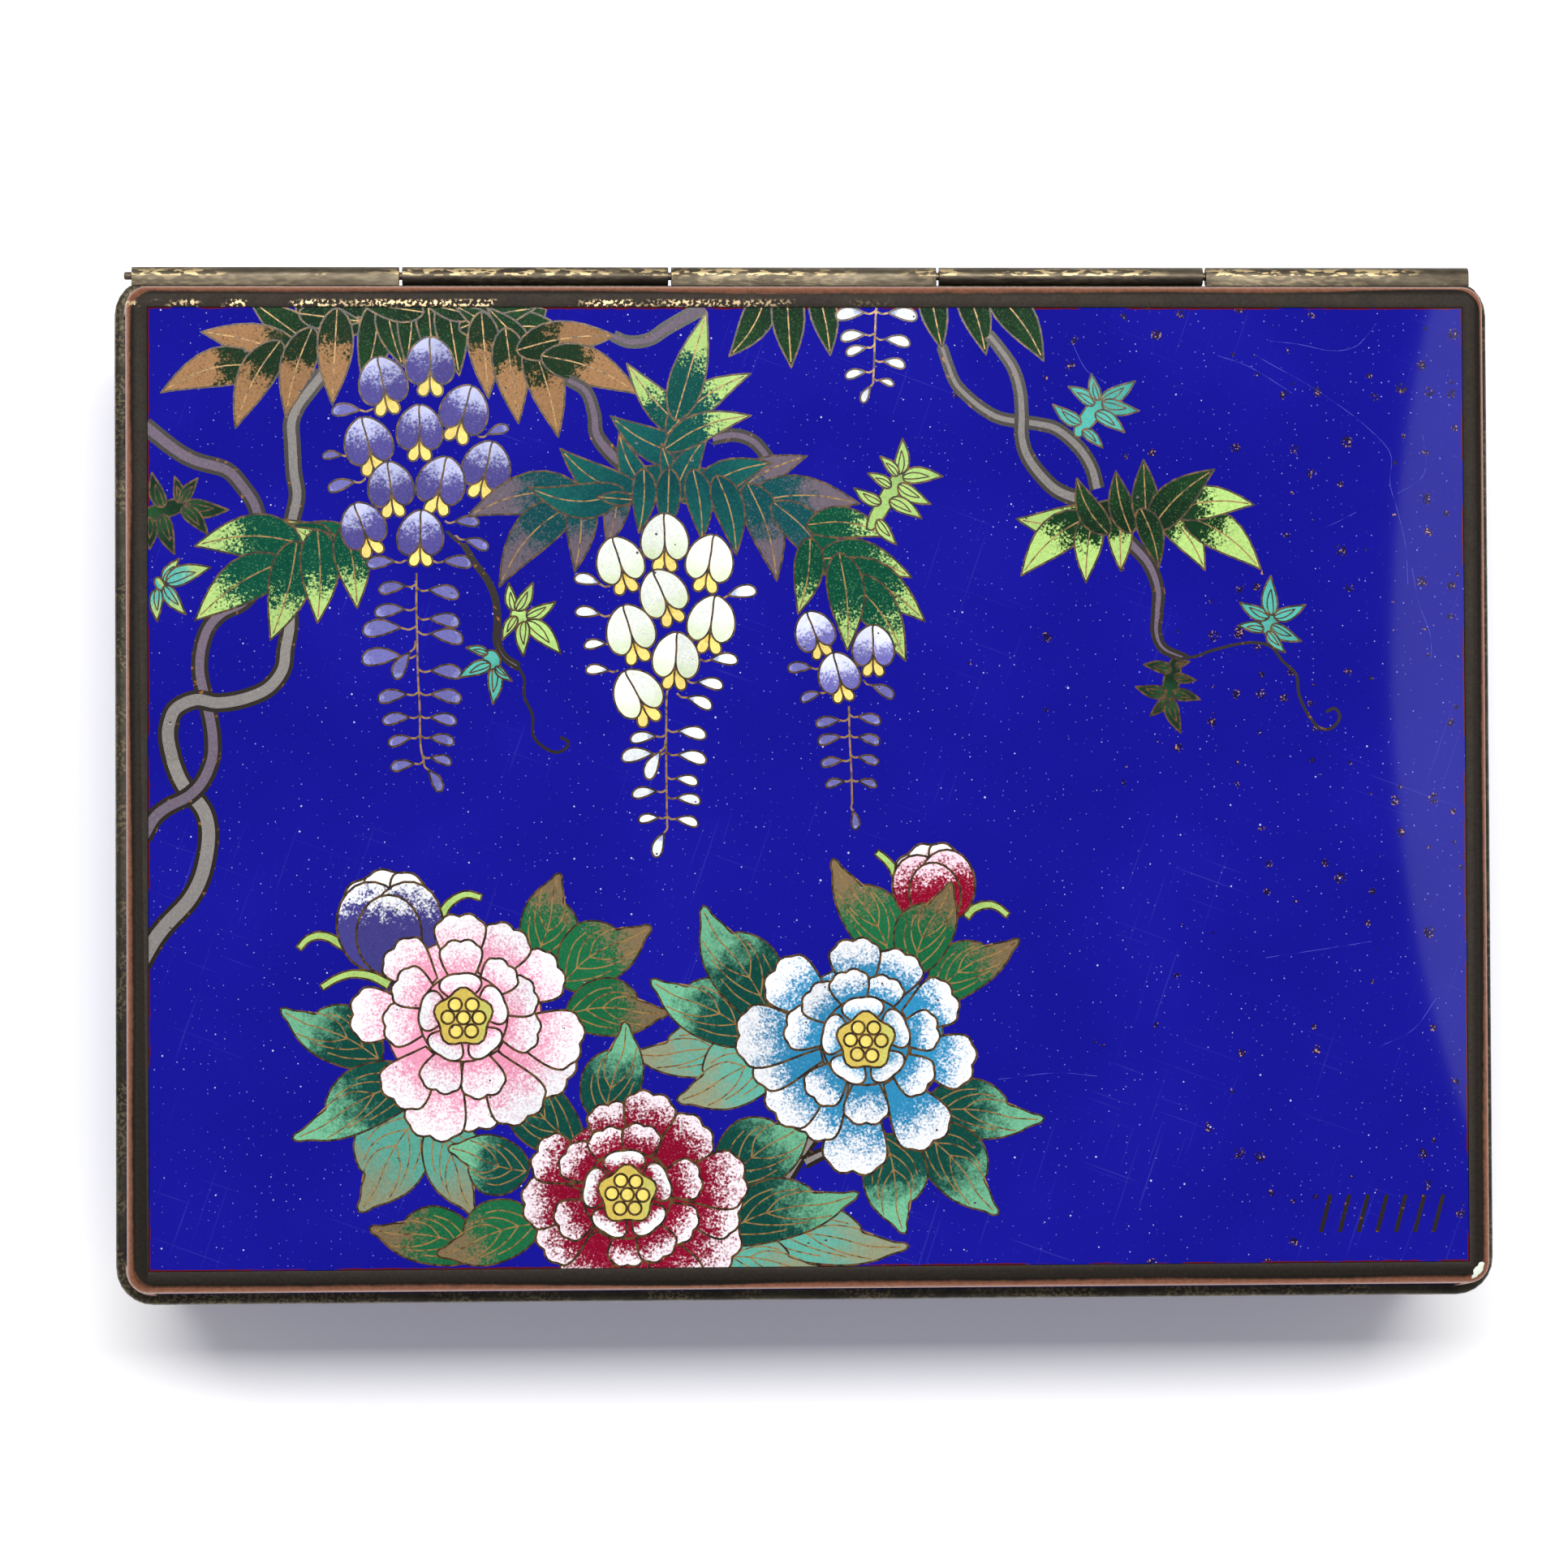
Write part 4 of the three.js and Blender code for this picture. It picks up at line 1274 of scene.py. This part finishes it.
finishes["hairline"] = finished("hairline", hairline_fill)
finishes["ground"] = finished("ground_blue", ground_fill(True))
finishes["side_ground"] = finished("side_blue", ground_fill(False))
finishes["lining"] = finished("counter_enamel", ground_fill(False, 0.82, 0.3, 2.5))

# %% [markdown]
# ## Wire
# The wires are gilded brass. The gilding is worn, so each changes from gold to dark brown along
# its length. The heavy wires of the vines have lost nearly all of it.

# %% Wire finishes
def wire_fill(bright, dull, low, high, shine):
    def fill(tree, shader):
        worn = tree.step(tree.noise(tree.place(), 1500, 3.0, 0.6), low, high)
        tree.put(shader, "Base Color", tree.blend(worn, linear(bright), linear(dull)))
        tree.put(shader, "Metallic", tree.step(worn, 0.0, 1.0, shine, 0.0))
        shader.inputs["Roughness"].default_value = 0.15
    return fill


WIRES = {
    # gilded colour, worn colour, the noise where wear starts and where it ends, metal
    "wire_gold": ((158, 124, 74), (72, 52, 30), 0.42, 0.66, 0.3),
    "wire_brown": ((104, 78, 46), (40, 29, 19), 0.34, 0.6, 0.3),
    "wire_dark": ((136, 88, 42), (32, 25, 20), 0.3, 0.38, 0.2),
}
for name, recipe in WIRES.items():
    finishes[name] = finished(name, wire_fill(*recipe))

# %% [markdown]
# ## The lid's panel
# The triangles get their materials and their base-to-tip shares, and the sheet is extruded
# down to the panel's real thickness, so it is a closed plate that stands for the CAD panel.

# %% Build the panel
slot_names = ["ground"] + sorted(set(finishes) - {"ground", "side_ground", "lining"})
sheet = bpy.data.meshes.new("lid_picture")
sheet.from_pydata([(*point, panel_high[2]) for point in flat_points], [], flat_faces)
for name in slot_names:
    sheet.materials.append(finishes[name])
share_map = sheet.uv_layers.new(name="cell")
shade_values = sheet.attributes.new("shade", "FLOAT", "FACE")
for face in sheet.polygons:
    layer = int(top_layer[face.index])
    if layer < 0:
        shade_values.data[face.index].value = 0.5
        continue
    cell = picture[layer]
    shade_values.data[face.index].value = cell["shade"]
    name = cell["wire"] if is_wire[face.index] else cell["enamel"]
    face.material_index = slot_names.index(name)
    for loop in face.loop_indices:
        spot = sheet.vertices[sheet.loops[loop].vertex_index].co.xy - cell["base"]
        axis = cell["axis"]
        length = axis.length_squared
        share_map.data[loop].uv = (spot.dot(axis) / length, spot.dot(side_of(axis)) / length)

solid = bmesh.new()
solid.from_mesh(sheet)
rim = [edge for edge in solid.edges if edge.is_boundary]
made = bmesh.ops.extrude_edge_only(solid, edges=rim)
lower_verts = [item for item in made["geom"] if isinstance(item, bmesh.types.BMVert)]
bmesh.ops.translate(solid, verts=lower_verts, vec=(0, 0, panel_low[2] - panel_high[2]))
lower_edges = [edge for edge in solid.edges if edge.is_boundary]
bmesh.ops.edgeloop_fill(solid, edges=lower_edges, mat_nr=0)
bmesh.ops.recalc_face_normals(solid, faces=solid.faces)
solid.to_mesh(sheet)
solid.free()
panel = bpy.data.objects.new("lid_enamel_picture", sheet)
bpy.context.collection.objects.link(panel)
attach(panel, "lid")
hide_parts("lid_top_enamel")
print("the panel has", len(sheet.polygons), "faces and", len(slot_names), "materials, after",
      round(time.time() - started, 1), "s")

# %% [markdown]
# ## Copper and brass
# Bare copper darkens where polish and enamel dust collect, and stays bright where it is rubbed,
# which is along the outer edges. So its colour depends on how far a point lies from the edge.

# %% The worn metal group
metal, metal_in, metal_out = new_group(
    "worn_metal",
    {"Rubbed": "color", "Patina": "color", "Gilt": "color", "Edge": "value", "Gilding": "value",
     "Place": "vector"},
    {"Color": "color", "Roughness": "value", "Height": "value"})
place = metal_in["Place"]
broad = metal.noise(place, 90, 4.0)
small = metal.noise(place, 700, 4.0, 0.6)
grainy = metal.noise(place, 3200, 2.0)
level = metal.plus(metal.plus(metal_in["Edge"], metal.centred(broad, 0.5)), metal.centred(small, 0.5))
rubbed = metal.step(level, 0.25, 0.85)
color = metal.blend(rubbed, metal_in["Patina"], metal_in["Rubbed"])
color = metal.blend(1.0, color, metal.step(grainy, 0.2, 0.8, 0.78, 1.18), "MULTIPLY")
# Gilt flakes where the Gilding mask is high; on the hinge that mask is mostly a painted highlight.
flakes = metal.times(metal.step(grainy, 0.5, 0.56), metal_in["Gilding"])
color = metal.blend(flakes, color, metal_in["Gilt"])
rough = metal.plus(metal.step(rubbed, 0.0, 1.0, 0.46, 0.22), metal.times(small, 0.16))
height = metal.plus(grainy, metal.times(small, 0.8))
metal.fill(metal_out, Color=color, Roughness=rough, Height=height)

# %% Copper of the trays
RIM_WIDTH = 1.83 * MM
CORNER_ROUND = 2.4 * MM
METAL_SHARE = 0.85
COPPER_RUBBED, COPPER_PATINA, COPPER_GILT = (136, 88, 66), (34, 29, 24), (206, 180, 138)
CHIP_PLACE = (1822, 1564)
CHIP_TURN = math.radians(-35)
CHIP_SIZE = (0.42 * MM, 0.95 * MM, 2 * MM)
CHIP_PALE = (206, 214, 200)


# %% Where the copper is worn, gilt or chipped
def near_edge(tree, place):
    """1 on the outer edge of the lid's top or the base's underside, 0 further in.

    The distance is the one to a rectangle with round corners, so the corners wear like the sides.
    """
    part = tree.parts(place)
    past = []
    for axis, half in (("X", panel_high[0] + RIM_WIDTH), ("Y", panel_high[1] + RIM_WIDTH)):
        past.append(tree.minus(tree.maths("ABSOLUTE", part[axis]), half - CORNER_ROUND))
    squares = [tree.maths("POWER", tree.maths("MAXIMUM", value, 0.0), 2.0) for value in past]
    outside = tree.maths("SQRT", tree.plus(*squares))
    within = tree.maths("MINIMUM", tree.maths("MAXIMUM", *past), 0.0)
    inwards = tree.minus(CORNER_ROUND, tree.plus(outside, within))
    reach = tree.maths("MULTIPLY_ADD", tree.noise(place, 26, 1.0), 2.0 * MM, -0.35 * MM)
    return tree.step(inwards, 0.05 * MM, reach, 1.0, 0.0)


def rear_strip(tree, place):
    """A strip of the rim just behind the panel, at the left."""
    part = tree.parts(place)
    behind = tree.minus(part["Y"], panel_high[1])
    strip = tree.times(tree.step(behind, 0.0, 0.25 * MM), tree.step(behind, 0.5 * MM, 0.8 * MM, 1.0, 0.0))
    return tree.times(strip, tree.step(part["X"], -22 * MM, 10 * MM, 1.0, 0.0))


def chip_mask(tree, place):
    """A small pale spill of enamel on the copper at the front right corner."""
    middle = on_lid(*CHIP_PLACE)
    mapped = tree.add(
        "ShaderNodeMapping", {"vector_type": "TEXTURE"}, Vector=place,
        Location=(middle.x, middle.y, lid_top), Rotation=(0, 0, CHIP_TURN), Scale=CHIP_SIZE)
    away = tree.add("ShaderNodeVectorMath", {"operation": "LENGTH"})
    tree.put(away, 0, mapped.outputs[0])
    ragged = tree.plus(away.outputs["Value"], tree.times(tree.noise(place, 1800, 2.0), 1.2))
    return tree.step(ragged, 1.35, 1.5, 1.0, 0.0)


# %% The copper itself
def copper_fill(tree, shader):
    place = tree.place()
    patches = tree.step(tree.noise(place, 230, 2.0), 0.44, 0.52)
    paint = tree.use(
        metal, Rubbed=linear(COPPER_RUBBED), Patina=linear(COPPER_PATINA), Gilt=linear(COPPER_GILT),
        Place=place, Edge=near_edge(tree, place), Gilding=tree.times(rear_strip(tree, place), patches))
    chip = chip_mask(tree, place)
    color = tree.blend(chip, paint["Color"], linear(CHIP_PALE))
    tree.put(shader, "Metallic", tree.maths("MULTIPLY_ADD", chip, -0.8, METAL_SHARE))
    tree.feed(shader, color, paint["Roughness"], paint["Height"], 0.25)


finishes["copper"] = finished("worn_copper", copper_fill)

# %% Brass of the bezels and the hinge
pin_low, pin_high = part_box("hinge_pin")
HINGE_Y = (pin_low[1] + pin_high[1]) / 2
# A painted highlight runs along the top of the hinge barrel, a little behind the pin: a band of gilt
# colour.
HIGHLIGHT_STREAK_Y = HINGE_Y + 0.3 * MM
# The colour of gilt flakes on the brass; on the hinge it is also the colour of the painted highlight.
BRASS_GILT_AND_HIGHLIGHT = (206, 182, 134)


def brass_fill(rubbed, patina, gilding, edge=0.5, stretch=1.0, highlight_streak=None):
    """stretch below 1 draws the marks out along X; streak is the Y of a painted highlight along the hinge
    barrel's top, laid in as a band of gilt colour.
    """
    def fill(tree, shader):
        plain = tree.place()
        place = tree.add("ShaderNodeMapping", Vector=plain, Scale=(stretch, 1, 1)).outputs[0]
        patches = tree.step(tree.noise(place, 260, 3.0), 0.42, 0.55)
        # Painted highlight: near the barrel's top line the gilt patches stay, elsewhere they fade to a
        # tenth.
        if highlight_streak is not None:
            away = tree.maths("ABSOLUTE", tree.minus(tree.parts(plain)["Y"], highlight_streak))
            patches = tree.times(patches, tree.step(away, 0.15 * MM, 0.4 * MM, 1.0, 0.1))
        paint = tree.use(
            metal, Rubbed=linear(rubbed), Patina=linear(patina), Gilt=linear(BRASS_GILT_AND_HIGHLIGHT), Edge=edge,
            Place=place, Gilding=tree.times(patches, gilding))
        shader.inputs["Metallic"].default_value = METAL_SHARE
        tree.feed(shader, paint["Color"], paint["Roughness"], paint["Height"], 0.3)
    return fill


BRASSES = {
    # rubbed colour, patina, how much gilding is left, how rubbed, how drawn out, where a painted
    # highlight lies along the barrel
    "bezel_brass": ((84, 78, 64), (36, 33, 28), 0.12),
    # The hinge's last value places its painted highlight.
    "hinge_brass": ((112, 102, 84), (50, 43, 34), 0.8, 0.5, 0.3, HIGHLIGHT_STREAK_Y),
    "pin_steel": ((128, 116, 98), (80, 68, 54), 0.0),
}
for name, recipe in BRASSES.items():
    finishes[name] = finished(name, brass_fill(*recipe))

# %% [markdown]
# ## Dressing the solids
# The solids are loose triangles with knife-sharp edges. A copy of each is merged, its flat
# faces are joined again, and its edges get a small bevel, because a real edge always catches a
# line of light. The copy then stands for its solid.

# %% Dressed copies
SHARP = math.radians(28)
FLAT = math.radians(0.5)
BROAD = 60 * MM * MM
WELD = 1e-6


def dress(node_name, piece_name, finish, body, bevel, segments=2):
    """A bevelled copy of a solid. Its broad faces are shaded flat, and its small ones smooth."""
    shape = bmesh.new()
    shape.from_mesh(nodes[node_name].data)
    bmesh.ops.remove_doubles(shape, verts=shape.verts, dist=WELD)
    bmesh.ops.dissolve_limit(shape, angle_limit=FLAT, verts=shape.verts, edges=shape.edges)
    corners = [edge for edge in shape.edges if edge.is_manifold and edge.calc_face_angle(0) > SHARP]
    bmesh.ops.bevel(
        shape, geom=corners, offset=bevel, segments=segments, profile=0.5, affect="EDGES",
        clamp_overlap=True, material=-1)
    bmesh.ops.recalc_face_normals(shape, faces=shape.faces)
    mesh = bpy.data.meshes.new(piece_name)
    shape.to_mesh(mesh)
    shape.free()
    for face in mesh.polygons:
        face.use_smooth = face.area < BROAD
    mesh.set_sharp_from_angle(angle=SHARP)
    mesh.materials.append(finishes[finish])
    piece = bpy.data.objects.new(piece_name, mesh)
    bpy.context.collection.objects.link(piece)
    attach(piece, body)
    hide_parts(node_name)


SIDES = ("front", "back", "left", "right")
TRAY_BEVEL, PANEL_BEVEL, LINING_BEVEL, UNDERSIDE_BEVEL = 0.06 * MM, 0.05 * MM, 0.04 * MM, 0.03 * MM
KNUCKLE_BEVEL, PIN_BEVEL, ROUND = 0.2 * MM, 0.15 * MM, 3
for body in ("lid", "base"):
    dress(f"{body}_tray", f"{body}_copper_tray", "copper", body, TRAY_BEVEL)
    dress(f"{body}_bezel", f"{body}_brass_bezel", "bezel_brass", body, TRAY_BEVEL)
    dress(f"{body}_lining", f"{body}_counter_enamel", "lining", body, LINING_BEVEL)
    for side in SIDES:
        piece_name = f"{body}_{side}_panel"
        dress(f"{body}_{side}_enamel", piece_name, "side_ground", body, PANEL_BEVEL)
for name in sorted(name for name in nodes if "_knuckle_" in name):
    body = name.split("_")[0]
    piece_name = name.replace("knuckle", "hinge_knuckle")
    dress(name, piece_name, "hinge_brass", body, KNUCKLE_BEVEL, ROUND)
dress("hinge_pin", "hinge_steel_pin", "pin_steel", "base", PIN_BEVEL, ROUND)
dress(
    "base_bottom_enamel", "base_underside_enamel", "side_ground", "base", UNDERSIDE_BEVEL)

# %% [markdown]
# ## Table, light and world
# The photograph's light is that of a white tent: one broad light above the box and behind it,
# white all round, and dark overhead, where the camera stood. A faint oval light high up at the
# right shows as a pale band in the enamel there.

# %% The table
PAPER = (0.94, 0.94, 0.94, 1)
table = bpy.data.meshes.new("table")
floor = bmesh.new()
bmesh.ops.create_grid(floor, x_segments=1, y_segments=1, size=3.0)
floor.to_mesh(table)
floor.free()


def table_fill(tree, shader):
    shader.inputs["Base Color"].default_value = PAPER
    shader.inputs["Roughness"].default_value = 0.8


table.materials.append(finished("white_paper", table_fill))
table_object = bpy.data.objects.new("table", table)
bpy.context.collection.objects.link(table_object)


# %% The lights
TENT_WALL = (0.9, 0.9, 0.92, 1)
TENT_TOP = (0.05, 0.051, 0.056, 1)


def soft_light(name, place, target, size, watts):
    lamp = bpy.data.lights.new(name, "AREA")
    lamp.shape = "RECTANGLE"
    lamp.size, lamp.size_y = size
    lamp.energy = watts
    thing = bpy.data.objects.new(name, lamp)
    bpy.context.collection.objects.link(thing)
    thing.location = place
    thing.rotation_euler = (Vector(target) - Vector(place)).to_track_quat("-Z", "Y").to_euler()
    return thing


soft_light("rear_softbox", (0.0, 0.265, 0.86), target=(0, 0, 0), size=(0.7, 0.2), watts=9.8)
card = soft_light(
    "right_card", (0.241, 0.045, 0.78), target=(0.241, 0.045, 0), size=(0.134, 0.32), watts=0.09)
card.data.shape = "ELLIPSE"

world = bpy.data.worlds.new("tent")
bpy.context.scene.world = world
world.use_nodes = True
sky = Tree(world.node_tree)
height = sky.parts(sky.add("ShaderNodeTexCoord").outputs["Generated"])["Z"]
tent = sky.blend(sky.step(height, 0.45, 0.95), TENT_WALL, TENT_TOP)
backdrop = sky.add("ShaderNodeBackground", Color=tent, Strength=1.0)
sky.add("ShaderNodeOutputWorld", Surface=backdrop.outputs[0])
bpy.context.scene.view_settings.view_transform = "Standard"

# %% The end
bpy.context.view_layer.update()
print("ready after", round(time.time() - started, 1), "s")
